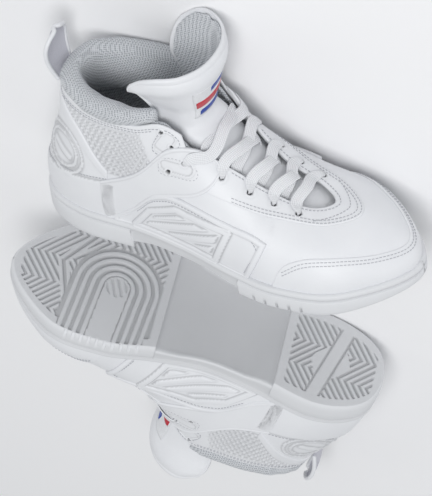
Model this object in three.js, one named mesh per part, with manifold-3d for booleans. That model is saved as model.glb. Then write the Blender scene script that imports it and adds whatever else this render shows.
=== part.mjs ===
// A pair of white mid-top cheer shoes that lie on their sides, sole to sole and heel to toe.
// Millimetres, +Z up. Each shoe is modelled in its own shoe frame (x from the back of the heel to
// the toe, z up from the ground, lateral side at -y on the right shoe), then laid on the floor.
import * as THREE from 'three';
import Module from 'manifold-3d';
import { ConvexHull } from 'three/addons/math/ConvexHull.js';
import { mergeVertices } from 'three/addons/utils/BufferGeometryUtils.js';

const wasm = await Module();
wasm.setup();

// ---- driving dimensions --------------------------------------------------------------------
const SHOE_LENGTH = 272;         // heel back to toe tip, at the sidewall
const BALL_WIDTH = 97;           // upper's width across the ball
const COLLAR_HEIGHT = 116;       // leather topline above the ground
const OUTSOLE = 5;               // tread pods' thickness
const ARCH_LIFT = 3.5;           // rise of the arch above the pods' top
const WALL_OUT = 5;              // sidewall's reach outside the feather line
const RIM = 1;                   // sidewall's rim above the feather line
const HEEL_POD_END = 75;         // x of the heel pod's front edge
const FRONT_POD_START = 159;     // x of the forefoot pod's rear edge
const POD_SLANT = 0.076;         // slope of both pod edges across the sole
const NOTCHES = 5;               // flex notches on each edge of the forefoot pod
const NOTCH = [1.6, 6, 3.2];     // notch width, depth and height
const SHANK = [90, 14, 1.2];     // shank length, width and thickness
const SHANK_X = 100;             // middle of the shank
const BOARD = 2;                 // insole board thickness
const FOOTBED = 3.5;             // footbed thickness
const LEATHER = 1.4;             // outer leather thickness
const LINING = 2;                // lining with its foam backing
const STIFFENER = 0.7;           // toe puff and heel stiffener thickness
const EYELET_R = 2.6;            // punched lace holes
const SPARE_HOLE_R = 1.6;        // spare lace holes in the ankle panel
const LACE = [8, 1.1];           // lace width and thickness
const PAD = 8;                   // collar pad thickness inside the lining
const CUFF = 13;                 // collar pad's rise above the leather topline
const TONGUE = 6;                // tongue thickness
const TONGUE_TOP = 162;          // tongue's height above the ground
const HINGE_Z = 119;             // line where the tongue's upper end bends
const TAB = [25, 36, 2.6];       // pull tab width, height and webbing thickness
const TAB_BOW = 4;               // how far the pull tab's loop bows backwards
const GAP = 0.4;                 // clearance between pieces that touch
const LEFT_YAW = -20.5;          // left shoe's turn on the floor, degrees
const LEFT_AT = [-224, 138];     // left heel from the right heel, along and across the floor

// ---- shape of the upper --------------------------------------------------------------------
// Stations round the shoe from the heel back over the lateral side to the toe and back over the
// medial side. Each has four Bezier points from the feather line up to the topline, on a shoe
// 272 long, 97 wide at the ball and 116 high.
const BASE = { length: 272, width: 97, height: 116 };
const STRETCH = Math.max(SHOE_LENGTH / BASE.length, BALL_WIDTH / BASE.width);
const FIT = GAP * STRETCH;       // clearance round the curve, where larger facets sag more
const STATIONS = [
  [[6, 0, 22], [0, 0, 50], [27, 0, 84], [27, 0, 116]],
  [[14, -21, 22], [9, -24, 50], [32, -20, 86], [35, -20, 116]],
  [[42, -32, 22], [42, -37, 50], [55, -32, 85], [60, -31, 113]],
  [[85, -32, 21], [86, -38, 50], [91, -35, 86], [91, -33, 114]],
  [[122, -36, 20], [121, -43, 48], [118, -35, 86], [114, -28, 116]],
  [[158, -43, 18], [158, -48, 42], [151, -37, 70], [145, -20, 88]],
  [[192, -46, 17], [194, -50, 37], [185, -37, 55], [173, -14, 67]],
  [[232, -36, 18], [237, -39, 36], [222, -27, 50], [199, -10, 56]],
  [[266, 4, 19], [271, 4, 36], [246, 4, 49], [212, 2, 54]],
  [[232, 42, 18], [237, 44, 37], [222, 31, 52], [199, 12, 56]],
  [[192, 45, 17], [194, 49, 39], [185, 37, 58], [173, 14, 67]],
  [[158, 35, 18], [158, 42, 44], [151, 35, 72], [145, 20, 88]],
  [[122, 26, 20], [121, 36, 48], [118, 33, 86], [115, 29, 117]],
  [[85, 27, 21], [86, 35, 50], [91, 34, 86], [91, 33, 114]],
  [[42, 32, 22], [42, 37, 50], [55, 32, 85], [60, 31, 113]],
  [[14, 21, 22], [9, 24, 50], [32, 20, 86], [35, 20, 116]],
];
const ROUND = STATIONS.length;
const FIXED_Z = 50;              // below this height a taller collar changes nothing

function sized([x, y, z]) {
  const high = Math.max(0, (z - FIXED_Z) / (BASE.height - FIXED_Z));
  return new THREE.Vector3(
    x * SHOE_LENGTH / BASE.length,
    y * BALL_WIDTH / BASE.width,
    z + (COLLAR_HEIGHT - BASE.height) * high,
  );
}
const NET = STATIONS.map((row) => row.map(sized));

const wrap = (i) => ((i % ROUND) + ROUND) % ROUND;

// Catmull-Rom spline through the stations, and a cubic Bezier up each of them.
function skin(u, v) {
  const i = Math.floor(u);
  const t = u - i;
  const round = [
    -0.5 * t + t * t - 0.5 * t ** 3,
    1 - 2.5 * t * t + 1.5 * t ** 3,
    0.5 * t + 2 * t * t - 1.5 * t ** 3,
    -0.5 * t * t + 0.5 * t ** 3,
  ];
  const up = [(1 - v) ** 3, 3 * v * (1 - v) ** 2, 3 * v * v * (1 - v), v ** 3];
  const p = new THREE.Vector3();
  round.forEach((a, k) => {
    const row = NET[wrap(i + k - 1)];
    up.forEach((b, j) => p.addScaledVector(row[j], a * b));
  });
  return p;
}

// The skin moved along its outward normal by a distance.
function upper(u, v, out) {
  const h = 0.01;
  const along = skin(u + h, v).sub(skin(u - h, v));
  const up = skin(u, v + h).sub(skin(u, v - h));
  const normal = along.cross(up).normalize();
  return skin(u, v).addScaledVector(normal, out);
}

// The feather line moved outwards in plan, at a height.
function outline(u, out, z) {
  const h = 0.01;
  const along = skin(u + h, 0).sub(skin(u - h, 0)).setZ(0).normalize();
  const p = skin(u, 0);
  return new THREE.Vector3(p.x + along.y * out, p.y - along.x * out, z);
}

const smooth = (a, b, x) => THREE.MathUtils.smoothstep(x, a, b);
const toeSpring = (x) => 9 * Math.max(0, (x / SHOE_LENGTH * BASE.length - 205) / 67) ** 2;
const heelRound = (x) => 2 * Math.max(0, (14 - x) / 20) ** 2;
const ground = (x) => toeSpring(x) + heelRound(x);

// ---- mesh builders -------------------------------------------------------------------------
function solid(points, faces) {
  const g = new THREE.BufferGeometry();
  g.setAttribute('position', new THREE.Float32BufferAttribute(points.flatMap((p) => [p.x, p.y, p.z]), 3));
  let volume = 0;
  for (const [a, b, c] of faces) {
    volume += points[a].dot(new THREE.Vector3().crossVectors(points[b], points[c]));
  }
  g.setIndex(volume < 0 ? faces.flatMap(([a, b, c]) => [a, c, b]) : faces.flat());
  return g;
}

// A closed wall between two grids of points of the same size; ring closes the rows on each other.
function wall(outer, inner, ring = false) {
  const rows = outer.length;
  const cols = outer[0].length;
  const points = [...outer.flat(), ...inner.flat()];
  const at = (side, i, j) => side * rows * cols + (i % rows) * cols + j;
  const faces = [];
  const quad = (a, b, c, d) => faces.push([a, b, c], [a, c, d]);
  const last = ring ? rows : rows - 1;
  for (let i = 0; i < last; i++) {
    for (let j = 0; j < cols - 1; j++) {
      quad(at(0, i, j), at(0, i + 1, j), at(0, i + 1, j + 1), at(0, i, j + 1));
      quad(at(1, i, j), at(1, i, j + 1), at(1, i + 1, j + 1), at(1, i + 1, j));
    }
    quad(at(0, i, 0), at(1, i, 0), at(1, i + 1, 0), at(0, i + 1, 0));
    quad(at(0, i, cols - 1), at(0, i + 1, cols - 1), at(1, i + 1, cols - 1), at(1, i, cols - 1));
  }
  if (!ring) {
    for (let j = 0; j < cols - 1; j++) {
      quad(at(0, 0, j), at(0, 0, j + 1), at(1, 0, j + 1), at(1, 0, j));
      quad(at(0, rows - 1, j), at(1, rows - 1, j), at(1, rows - 1, j + 1), at(0, rows - 1, j + 1));
    }
  }
  return solid(points, faces);
}

// A closed slab from rings of points round the shoe, capped by strips across the sole.
function slab(rings) {
  const n = rings[0].length;
  const faces = [];
  for (let r = 0; r < rings.length - 1; r++) {
    for (let i = 0; i < n; i++) {
      const a = r * n + i;
      const b = r * n + (i + 1) % n;
      faces.push([a, b, b + n], [a, b + n, a + n]);
    }
  }
  const cap = (start, flip) => {
    const tri = (a, b, c) => faces.push(flip ? [start + a, start + c, start + b] : [start + a, start + b, start + c]);
    for (let i = 0; i < n / 2; i++) {
      const far = (n - i) % n;
      if (i > 0) tri(i, far, i + 1);
      if (i < n / 2 - 1) tri(i + 1, far, far === 0 ? n - 1 : far - 1);
    }
  };
  cap(0, false);
  cap((rings.length - 1) * n, true);
  return solid(rings.flat(), faces);
}

function toManifold(geometry) {
  const merged = mergeVertices(geometry, 1e-4);
  return new wasm.Manifold(new wasm.Mesh({
    numProp: 3,
    vertProperties: new Float32Array(merged.attributes.position.array),
    triVerts: new Uint32Array(merged.index.array),
  }));
}

function fromManifold(body) {
  const mesh = body.getMesh();
  const g = new THREE.BufferGeometry();
  g.setAttribute('position', new THREE.BufferAttribute(mesh.vertProperties, 3));
  g.setIndex(new THREE.BufferAttribute(mesh.triVerts, 1));
  return g;
}

function plain(geometry) {
  const g = geometry.clone();
  g.deleteAttribute('normal');
  g.deleteAttribute('uv');
  return mergeVertices(g, 1e-4);
}

function cut(geometry, tools) {
  let body = toManifold(geometry);
  for (const tool of tools) {
    body = body.subtract(toManifold(tool));
  }
  return fromManifold(body);
}

function keep(geometry, tool) {
  return fromManifold(toManifold(geometry).intersect(toManifold(tool)));
}

// ---- patches of the upper ------------------------------------------------------------------
const ROUND_STEP = 0.4;          // common spacing of the grid lines round the shoe

// Grid lines between two places round the shoe: the ends and every common line between them.
function lines(a, b) {
  const list = [a];
  for (let k = Math.ceil(a / ROUND_STEP + 0.25); k * ROUND_STEP < b - 0.25 * ROUND_STEP; k++) {
    list.push(k * ROUND_STEP);
  }
  list.push(b);
  return list;
}

// Straight-line interpolation through [x, y] pairs.
function follow(pairs, x) {
  const k = Math.max(1, pairs.findIndex((p) => p[0] >= x));
  const [a, b] = x > pairs.at(-1)[0] ? pairs.slice(-2) : [pairs[k - 1], pairs[k]];
  return a[1] + (b[1] - a[1]) * (x - a[0]) / (b[0] - a[0]);
}

// A leather patch over a stretch of the skin, between two heights given as functions of u.
function patch(us, low, high, steps, inner = 0, outer = LEATHER) {
  const grid = (out) => us.map((u) => {
    const from = low(u);
    const rise = high(u) - from;
    return Array.from({ length: steps + 1 }, (_, j) => upper(u, from + rise * j / steps, out));
  });
  return wall(grid(outer), grid(inner));
}

// The same with slanted ends: a ruled patch between a lower and an upper path of [u, v] points.
function ruled(low, high, across, steps, inner = 0, outer = LEATHER) {
  const walk = (path, s) => {
    const t = s * (path.length - 1);
    const k = Math.min(path.length - 2, Math.floor(t));
    return path[k].map((value, i) => value + (path[k + 1][i] - value) * (t - k));
  };
  const grid = (out) => Array.from({ length: across + 1 }, (_, i) => {
    const a = walk(low, i / across);
    const b = walk(high, i / across);
    return Array.from({ length: steps + 1 }, (_, j) => {
      const t = j / steps;
      return upper(a[0] + (b[0] - a[0]) * t, a[1] + (b[1] - a[1]) * t, out);
    });
  });
  return wall(grid(outer), grid(inner));
}

// Seams on the lateral side as [u, v] pairs; the medial side uses them mirrored.
const SEAM = 0.012;              // half of the joint between two patches, in the skin's own units
const FOOT = 0.02;               // lower edge of every patch, just above the feather line
const STRIP_LOW = [[0.45, 0.86], [1.2, 0.79], [1.95, 0.63], [2.42, 0.44]];
const STRIP_HIGH = [[0.45, 0.97], [1.2, 0.9], [1.95, 0.75], [2.42, 0.58]];
const WRAP_LOW = [[2.5, 0.03], [3.33, 0.42], [4, 0.51], [4.6, 0.66], [5, 0.93]];
const WRAP_HIGH = [[2.5, 0.41], [3.33, 0.66], [4.4, 0.93], [4.7, 0.99], [5, 1]];
const EYESTAY_LOW = [[4.6, 0.64], [5.6, 0.74], [6.6, 0.82], [7.4, 0.81], [8, 0.8]];
const SADDLE_TOP = [[2.62, 0.05], [3.33, 0.39], [4, 0.48], [5.9, 0.55]];
const SADDLE_FRONT = 5.35;       // front lower corner of the side panel
const MUDGUARD = [[5.85, 0.02], [6.1, 0.3], [6.45, 0.46], [7, 0.5], [7.5, 0.42], [8, 0.36]];
const EYELETS = [[6.65, 0.91], [6.12, 0.91], [5.6, 0.9], [5.02, 0.88], [4.3, 0.79]];
const WRAP_SPARE = [3.95, 0.66];
const PANEL_SPARES = [[3.72, 0.93], [4.02, 0.88]];

const mirror = (pairs) => pairs.map(([u, v]) => [ROUND - u, v]).reverse();
const lateral = (pairs) => (u) => follow(pairs, u);
const medial = (pairs) => (u) => follow(pairs, ROUND - u);
const sideOf = (side) => (side === 'lateral' ? lateral : medial);
const span = (side, a, b) => (side === 'lateral' ? lines(a, b) : lines(ROUND - b, ROUND - a));

// A round punch along the skin's normal.
function punch(u, v, r) {
  const from = upper(u, v, -6);
  const to = upper(u, v, 6);
  const g = plain(new THREE.CylinderGeometry(r, r, from.distanceTo(to), 6));
  const turn = new THREE.Quaternion().setFromUnitVectors(
    new THREE.Vector3(0, 1, 0), to.clone().sub(from).normalize());
  g.applyQuaternion(turn);
  const middle = from.add(to).multiplyScalar(0.5);
  return g.translate(middle.x, middle.y, middle.z);
}
const punches = (side, holes, r) => holes.map(([u, v]) => punch(side === 'lateral' ? u : ROUND - u, v, r));

// ---- sole ----------------------------------------------------------------------------------
const SOLE_STEPS = 40;
const ringOf = (out, height) => Array.from({ length: SOLE_STEPS }, (_, i) => {
  const u = i * ROUND / SOLE_STEPS;
  const p = outline(u, out, 0);
  return p.setZ(height(p.x, u));
});
const feather = (u) => skin(u, 0).z;

// Height of the cup's floor: flat under the heel and arch for the shank, lower under the ball.
const FLOOR = [[0, 13], [150, 13], [190, 11], [230, 11.4], [BASE.length, 13.4]];
const floorZ = (x) => follow(FLOOR, Math.min(Math.max(x / SHOE_LENGTH * BASE.length, 0), BASE.length));
const BOARD_LIFT = SHANK[2] + 2 * GAP;
const boardZ = (x) => floorZ(x) + GAP + (BOARD_LIFT - GAP) * (1 - smooth(150, 185, x));
const bedZ = (x) => boardZ(x) + BOARD + GAP;

function podBlank() {
  return slab([
    ringOf(WALL_OUT - 2, (x) => ground(x)),
    ringOf(WALL_OUT - 0.4, (x) => ground(x) + 1.2),
    ringOf(WALL_OUT, (x) => ground(x) + OUTSOLE),
  ]);
}

// Everything in front of, or behind, a slanted line across the sole.
function half(x, front) {
  const size = 2 * SHOE_LENGTH;
  const box = plain(new THREE.BoxGeometry(size, size, size));
  box.translate(front ? size / 2 : -size / 2, 0, 0);
  box.rotateZ(Math.atan(POD_SLANT));
  return box.translate(x, 0, 0);
}

function outsoleForefoot() {
  const pod = keep(podBlank(), half(FRONT_POD_START, true));
  const tools = [];
  for (let k = 0; k < NOTCHES; k++) {
    for (const u of [5.42 + 0.22 * k, ROUND - 5.42 - 0.22 * k]) {
      const p = outline(u, WALL_OUT, 0);
      const box = plain(new THREE.BoxGeometry(NOTCH[0], 2 * NOTCH[1], 2 * NOTCH[2]));
      tools.push(box.translate(p.x, p.y, 0));
    }
  }
  return cut(pod, tools);
}

const outsoleHeel = () => keep(podBlank(), half(HEEL_POD_END, false));

function midsole() {
  const arch = (x) => smooth(HEEL_POD_END, HEEL_POD_END + 22, x)
    * (1 - smooth(FRONT_POD_START - 22, FRONT_POD_START, x));
  const under = (x) => ground(x) + OUTSOLE + GAP + ARCH_LIFT * arch(x);
  return slab([
    ringOf(WALL_OUT - 0.6, under),
    ringOf(WALL_OUT, (x, u) => (under(x) + feather(u)) / 2 + 1),
    ringOf(WALL_OUT - 1, (x, u) => feather(u) + RIM),
    ringOf(LEATHER + FIT, (x, u) => feather(u) + RIM),
    ringOf(LEATHER + FIT, (x) => floorZ(x)),
  ]);
}

function shank() {
  const box = new THREE.BoxGeometry(...SHANK);
  return plain(box).translate(SHANK_X, 0, floorZ(SHANK_X) + GAP + SHANK[2] / 2);
}

const insoleBoard = () => slab([ringOf(-0.5, boardZ), ringOf(-0.5, (x) => boardZ(x) + BOARD)]);

function footbed() {
  const edge = -(LEATHER + LINING + 2 * GAP + 2);
  return slab([ringOf(edge, bedZ), ringOf(edge, (x) => bedZ(x) + FOOTBED)]);
}

// ---- upper ---------------------------------------------------------------------------------
const LINING_OUT = -3.5 * FIT;   // lining's outer face, inside the skin
const LINING_IN = LINING_OUT - LINING;
const LINING_ROWS = 5;
const LINING_FOOT = 0.04;
const LINING_TOP = [[0, 1], [4, 1], [4.4, 0.94], [4.8, 0.84], [5.6, 0.82], [7.2, 0.84], [7.6, 0.97], [8, 0.97]];

// The lining ends short of the lace stay's punched edge.
function lining() {
  const us = Array.from({ length: ROUND / ROUND_STEP }, (_, i) => i * ROUND_STEP);
  const top = (u) => follow(LINING_TOP, Math.min(u, ROUND - u)) - LINING_FOOT;
  const grid = (out) => us.map((u) => Array.from({ length: LINING_ROWS + 1 },
    (_, j) => upper(u, LINING_FOOT + top(u) * j / LINING_ROWS, out)));
  const sleeve = wall(grid(LINING_OUT), grid(LINING_IN), true);
  return cut(sleeve, ['lateral', 'medial'].flatMap((side) => punches(side, [EYELETS[4]], EYELET_R)));
}

function stiffener(us, top) {
  const out = LINING_OUT + 0.35;
  return patch(us, () => 0.06, () => top, 3, out, out + STIFFENER / 2);
}

const TOP = 1;
const pieceOf = {
  heel_counter: () => patch(lines(-2.42, 2.42), () => FOOT,
    (u) => follow([[0, 0.86], ...STRIP_LOW], Math.abs(u)) - SEAM, 4),
  vamp: () => {
    const low = [[SADDLE_FRONT + 0.06, FOOT], [5.82, FOOT], ...MUDGUARD.slice(1).map(([u, v]) => [u, v + SEAM])];
    const high = [[6.13, 0.775], [6.3, 0.79], [6.45, 0.81], [6.7, 0.82], [7.1, 0.81], [7.5, 0.79], [8, 0.79]];
    const both = (half) => [...half, ...mirror(half).slice(1)];
    return ruled(both(low), both(high.map(([u, v]) => [u, v - SEAM])), 20, 4);
  },
  mudguard: () => {
    const top = [[5.86, 0.02], ...MUDGUARD.slice(1)];
    const us = [5.9, 6.05, 6.2, ...lines(6.4, ROUND - 6.4), ROUND - 6.2, ROUND - 6.05, ROUND - 5.9];
    return patch(us, () => FOOT, (u) => follow(top, u > 8 ? ROUND - u : u) - SEAM, 3);
  },
  eyestay: () => {
    const low = (u) => follow(EYESTAY_LOW, u > 8 ? ROUND - u : u) + SEAM;
    const behind = [...WRAP_LOW, [5.04, 1.02]];
    const high = (u) => Math.min(TOP, follow(behind, u > 8 ? ROUND - u : u) - SEAM);
    const stay = patch([4.72, 4.86, ...lines(5, ROUND - 5), ROUND - 4.86, ROUND - 4.72], low, high, 2);
    const holes = ['lateral', 'medial'].flatMap((side) => punches(side, EYELETS.slice(0, 4), EYELET_R));
    return cut(stay, holes);
  },
};

function quarter(side) {
  const low = [[4.08, 0.498], [5, 0.527], [5.92, 0.562]];
  const high = [[4.12, 0.52], [4.66, 0.632], [5.6, 0.728], [6.1, 0.768]];
  return side === 'lateral' ? ruled(low, high, 6, 2) : ruled(mirror(low), mirror(high), 6, 2);
}

function saddle(side) {
  const top = [...SADDLE_TOP.slice(0, 3), [5, 0.515], SADDLE_TOP[3]];
  const at = (s) => follow(top.map(([u, v], i) => [i / (top.length - 1), v]), s);
  const uAt = (s) => follow(top.map(([u], i) => [i / (top.length - 1), u]), s);
  const steps = 10;
  const high = Array.from({ length: steps + 1 }, (_, i) => [uAt(i / steps), at(i / steps) - SEAM]);
  const low = high.map(([u]) => [2.62 + (u - 2.62) * (SADDLE_FRONT - 2.62) / (5.9 - 2.62), FOOT]);
  return side === 'lateral' ? ruled(low, high, steps, 3) : ruled(mirror(low), mirror(high), steps, 3);
}

function ankleWrap(side) {
  const on = sideOf(side);
  const low = on(WRAP_LOW);
  const high = on(WRAP_HIGH);
  const band = patch(span(side, 2.5, 4.98), (u) => low(u) + SEAM, (u) => high(u) - SEAM, 3);
  return cut(band, punches(side, [EYELETS[4], WRAP_SPARE], EYELET_R));
}

function anklePanel(side) {
  const on = sideOf(side);
  const strip = on([...STRIP_HIGH, [2.5, 0.56]]);
  const band = on(WRAP_HIGH);
  const far = (u) => (side === 'lateral' ? u : ROUND - u);
  const low = (u) => (far(u) < 2.46 ? strip(u) : Math.max(band(u), follow([[2.42, 0.58], [2.7, 0.46]], far(u))));
  const panel = patch(span(side, 1, 4.3), (u) => low(u) + SEAM, () => TOP, 3);
  return cut(panel, punches(side, PANEL_SPARES, SPARE_HOLE_R));
}

function heelStrip(side) {
  const on = sideOf(side);
  const low = on(STRIP_LOW);
  const high = on(STRIP_HIGH);
  return patch(span(side, 0.48, 2.42), (u) => low(u) + SEAM, (u) => high(u) - SEAM, 1, 0, LEATHER + 0.6);
}

// ---- collar pad ----------------------------------------------------------------------------
// The pad's section, as a reach inside the lining and a height above the topline, from the
// leather edge over the roll and down inside, and the matching points on its lining side.
const PAD_END = 3.85;            // the pad's two front ends
function collarPad() {
  const us = Array.from({ length: 17 }, (_, i) => PAD_END * (i / 8 - 1));
  const thin = (u) => 1 - 0.45 * smooth(2.4, 3.6, Math.abs(u));
  const low = (u) => (Math.abs(u) < 3.4 ? -34 : -24);
  const place = (u, out, rise) => {
    const edge = upper(u, TOP, 0);
    const side = upper(u, TOP, 1).sub(edge).setZ(0).normalize();
    if (rise >= 0) return edge.addScaledVector(side, out).setZ(edge.z + rise);
    const v = TOP + rise / 96;
    return upper(u, v, out);
  };
  const inside = LINING_IN - 2 * GAP;
  const face = (u) => [
    place(u, 1.7, 1.8),
    place(u, 3, CUFF * 0.45),
    place(u, 0.5, CUFF * 0.85),
    place(u, -4 * thin(u), CUFF),
    place(u, -(3.5 + PAD) * thin(u), CUFF * 0.75),
    place(u, inside - PAD * thin(u), 0),
    place(u, inside - PAD * thin(u), low(u) * 0.5),
    place(u, inside - 0.5 * PAD * thin(u), low(u) * 0.9),
  ];
  const back = (u) => [
    place(u, 0.6, 1.2),
    place(u, 0.2, 1.9),
    place(u, -1, 2.4),
    place(u, -2.6, 2.4),
    place(u, inside + 0.2, 2),
    place(u, inside, 0),
    place(u, inside, low(u) * 0.5),
    place(u, inside, low(u)),
  ];
  return wall(us.map(face), us.map(back));
}

// ---- tongue --------------------------------------------------------------------------------
const LACE_ROOM = 3.4;           // room for the lace between lining and tongue
const deep = (u) => LINING_IN - LACE_ROOM - 4.6 * (1 - smooth(4.05, 4.8, u));

// One row across the tongue: under the lateral edge, over the throat and under the medial edge.
function tongueRow(u, v, wing) {
  const side = (w) => {
    const to = (a) => (w < 0 ? a : ROUND - a);
    return [wing[1], wing[0]].map(([a, b]) => upper(to(a), b, deep(a))).concat([upper(to(u), v, deep(u))]);
  };
  const [a2, a1, a0] = side(-1);
  const [b2, b1, b0] = side(1);
  const reach = a0.distanceTo(b0) * 0.36;
  const pull = (p, q) => p.clone().addScaledVector(p.clone().sub(q).normalize(), reach);
  const curve = new THREE.CubicBezierCurve3(a0, pull(a0, a1), pull(b0, b1), b0);
  return [a2, a1, ...curve.getPoints(4), b1, b2];
}

// Rows of the tongue from under the vamp to the ankle: place on the edge, and where its wings lie.
const TONGUE_ROWS = [
  [7.45, 0.93, [[7.3, 0.86], [7.1, 0.8]]],
  [7, 0.99, [[6.95, 0.9], [6.85, 0.82]]],
  [6.3, 0.99, [[6.3, 0.88], [6.3, 0.77]]],
  [5.6, 0.99, [[5.6, 0.86], [5.6, 0.74]]],
  [5, 0.99, [[4.95, 0.86], [4.85, 0.74]]],
  [4.55, 0.99, [[4.35, 0.92], [4.1, 0.84]]],
  [4.15, 0.99, [[3.85, 0.96], [3.45, 0.9]]],
];

// The free upper end stands above the last row: half sections as [x, y, height] from centre to wing.
const FLAP_ROWS = [
  [[137, 0, 0.45], [133, 16, 0.45], [121, 24.5, 0.42], [105, 26, 0.38], [92, 24, 0.32]],
  [[142, 0, 0.8], [138, 19, 0.82], [126, 32, 0.82], [108, 37, 0.78], [93, 35, 0.62]],
  [[141, 0, 1], [137, 19, 1], [125, 33, 1], [110, 38, 0.98], [99, 37, 0.88]],
];

function tongueSkin() {
  const low = TONGUE_ROWS.map(([u, v, wing]) => tongueRow(u, v, wing));
  const rise = TONGUE_TOP - HINGE_Z;
  const high = FLAP_ROWS.map((row) => {
    const spread = (w) => row.map(([x, y, z]) => sized([x, w * y, 0]).setZ(HINGE_Z + rise * z));
    const line = [...spread(-1).reverse(), ...spread(1).slice(1)];
    return new THREE.CatmullRomCurve3(line, false, 'centripetal').getPoints(8);
  });
  return { low, high };
}

// Offsets each row towards the foot by the tongue's thickness.
function inwards(rows, thick, level = -1) {
  return rows.map((row, i) => row.map((p, j) => {
    const next = rows[Math.min(i + 1, rows.length - 1)][j];
    const before = rows[Math.max(i - 1, 0)][j];
    const along = next.clone().sub(before);
    const across = row[Math.min(j + 1, row.length - 1)].clone().sub(row[Math.max(j - 1, 0)]);
    const normal = along.cross(across);
    if (i === level) normal.setZ(0);
    return p.clone().addScaledVector(normal.normalize(), thick(i, j));
  }));
}
const edgeThin = (j, n) => 1 - 0.4 * (j === 0 || j === n);

// The line of the bend: the last lower row, squeezed to just under and just over the hinge.
function bendRow(side) {
  const row = tongueRow(...TONGUE_ROWS.at(-1));
  return row.map((p) => p.clone().setZ(HINGE_Z + side * GAP));
}

function tongueLower() {
  const rows = [...tongueSkin().low, bendRow(-1)];
  const last = rows[0].length - 1;
  return wall(rows, inwards(rows, (i, j) => TONGUE * 0.75 * edgeThin(j, last), rows.length - 1));
}

function tongueFlap() {
  const rows = [bendRow(1), ...tongueSkin().high];
  const last = rows[0].length - 1;
  return wall(rows, inwards(rows, (i, j) => TONGUE * edgeThin(j, last), 0));
}

function tongueMark() {
  const rows = [bendRow(1), ...tongueSkin().high];
  const pick = (t, w) => {
    const k = Math.min(rows.length - 2, Math.floor(t));
    const a = rows[k][w];
    return a.clone().lerp(rows[k + 1][w], t - k);
  };
  const grid = [0.75, 1.2, 1.65].map((t) => [3, 4, 5].map((w) => pick(t, w)));
  const lift = (d) => inwards(grid, () => -d);
  return wall(lift(2 * GAP + 1.2), lift(2 * GAP + 0.2));
}

// ---- pull tab ------------------------------------------------------------------------------
function tabRoot() {
  return upper(0, 0.97, LEATHER + 1);
}

function pullTab() {
  const root = tabRoot();
  const steps = 8;
  const rows = (out) => Array.from({ length: steps + 1 }, (_, i) => {
    const t = i / steps;
    const z = root.z + TAB[1] * t - 2;
    const half = TAB[0] / 2 * (0.72 + 0.28 * Math.sin(Math.PI * Math.min(1, t * 1.5) / 2))
      * Math.sqrt(Math.max(0.06, 1 - Math.max(0, (t - 0.6) / 0.4) ** 2.4));
    const x = root.x - TAB_BOW * Math.sin(Math.PI * t) - out * TAB[2];
    return [-1, -0.5, 0, 0.5, 1].map((w) => new THREE.Vector3(x - 2.5 * (1 - w * w) * t, half * w, z));
  });
  return wall(rows(1), rows(0));
}

// ---- lace ----------------------------------------------------------------------------------
// One flat lace: a bar over the lowest eyelets, then each half climbs in turn, down through an
// eyelet, out from under that edge, over the tongue and down into the next eyelet across.
const STRAND_LIFT = [4.4, 7.4];  // heights of the lower and the upper strand over the throat
const FOLDED = [2.6, 1.5];       // the lace's folded width and thickness inside an eyelet
const EXIT_STEP = 0.27;          // where a strand leaves the edge, past its eyelet
const LACE_TAIL = [[4.2, 0.7], [4.1, 0.61]];
// Where each strand comes down over the leather before its eyelet, from the second one on.
const LANDINGS = [[], [[6.12, 0.98]], [[5.6, 0.98]], [[5.02, 0.965]], [[4.74, 0.97], [4.46, 0.87]]];

function laceHalf(first) {
  const stops = [];
  let side = first;
  const spot = ([u, v], w, out, folded) => {
    const at = w < 0 ? u : ROUND - u;
    stops.push({ at: upper(at, v, out), out: upper(at, v, 1).sub(upper(at, v, 0)), folded, w });
  };
  EYELETS.forEach((hole, k) => {
    spot(hole, side, LEATHER / 2, true);
    spot(hole, side, LINING_IN - 1.3, true);
    if (k === EYELETS.length - 1) {
      LACE_TAIL.forEach((place) => spot(place, side, LINING_IN - 1.8, false));
      return;
    }
    const leave = hole[0] - EXIT_STEP;
    const next = LANDINGS[k + 1];
    const lift = STRAND_LIFT[side < 0 ? 0 : 1];
    spot([leave + 0.06, 0.965], side, LINING_IN - 1.3, false);
    spot([leave, 1.02], side, -1.6, false);
    const from = stops.at(-1);
    const over = upper(side < 0 ? ROUND - next[0][0] : next[0][0], next[0][1], LEATHER + 1.4);
    const crown = from.at.clone().lerp(over, 0.5).add(new THREE.Vector3(0.5 * lift, 0, lift));
    const rise = new THREE.Vector3(0.5, 0, 1).normalize();
    stops.push({ at: from.at.clone().lerp(crown, 0.55).addScaledVector(rise, 2), out: rise, w: 0 });
    stops.push({ at: crown, out: rise, w: 0 });
    side = -side;
    next.forEach((place) => spot(place, side, LEATHER + 1.9, false));
    spot(EYELETS[k + 1], side, LEATHER + 1.2, true);
  });
  return stops;
}

function laceStops() {
  const [u, v] = EYELETS[0];
  const ends = [-1, 1].map((w) => {
    const at = w < 0 ? u : ROUND - u;
    return { at: upper(at, v, LEATHER + 1.2), out: upper(at, v, 1).sub(upper(at, v, 0)), folded: true, w };
  });
  const inner = [-1, 1].map((w) => {
    const at = w < 0 ? u : ROUND - u;
    return { at: upper(at, 0.985, LEATHER + 1.4), out: upper(at, 0.985, 1).sub(upper(at, 0.985, 0)), w };
  });
  const top = inner[0].at.clone().lerp(inner[1].at, 0.5).add(new THREE.Vector3(1, 0, 3));
  return [...laceHalf(-1).reverse(), ends[0], inner[0], { at: top, out: new THREE.Vector3(0.3, 0, 1), w: 0 },
    inner[1], ends[1], ...laceHalf(1)];
}

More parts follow.
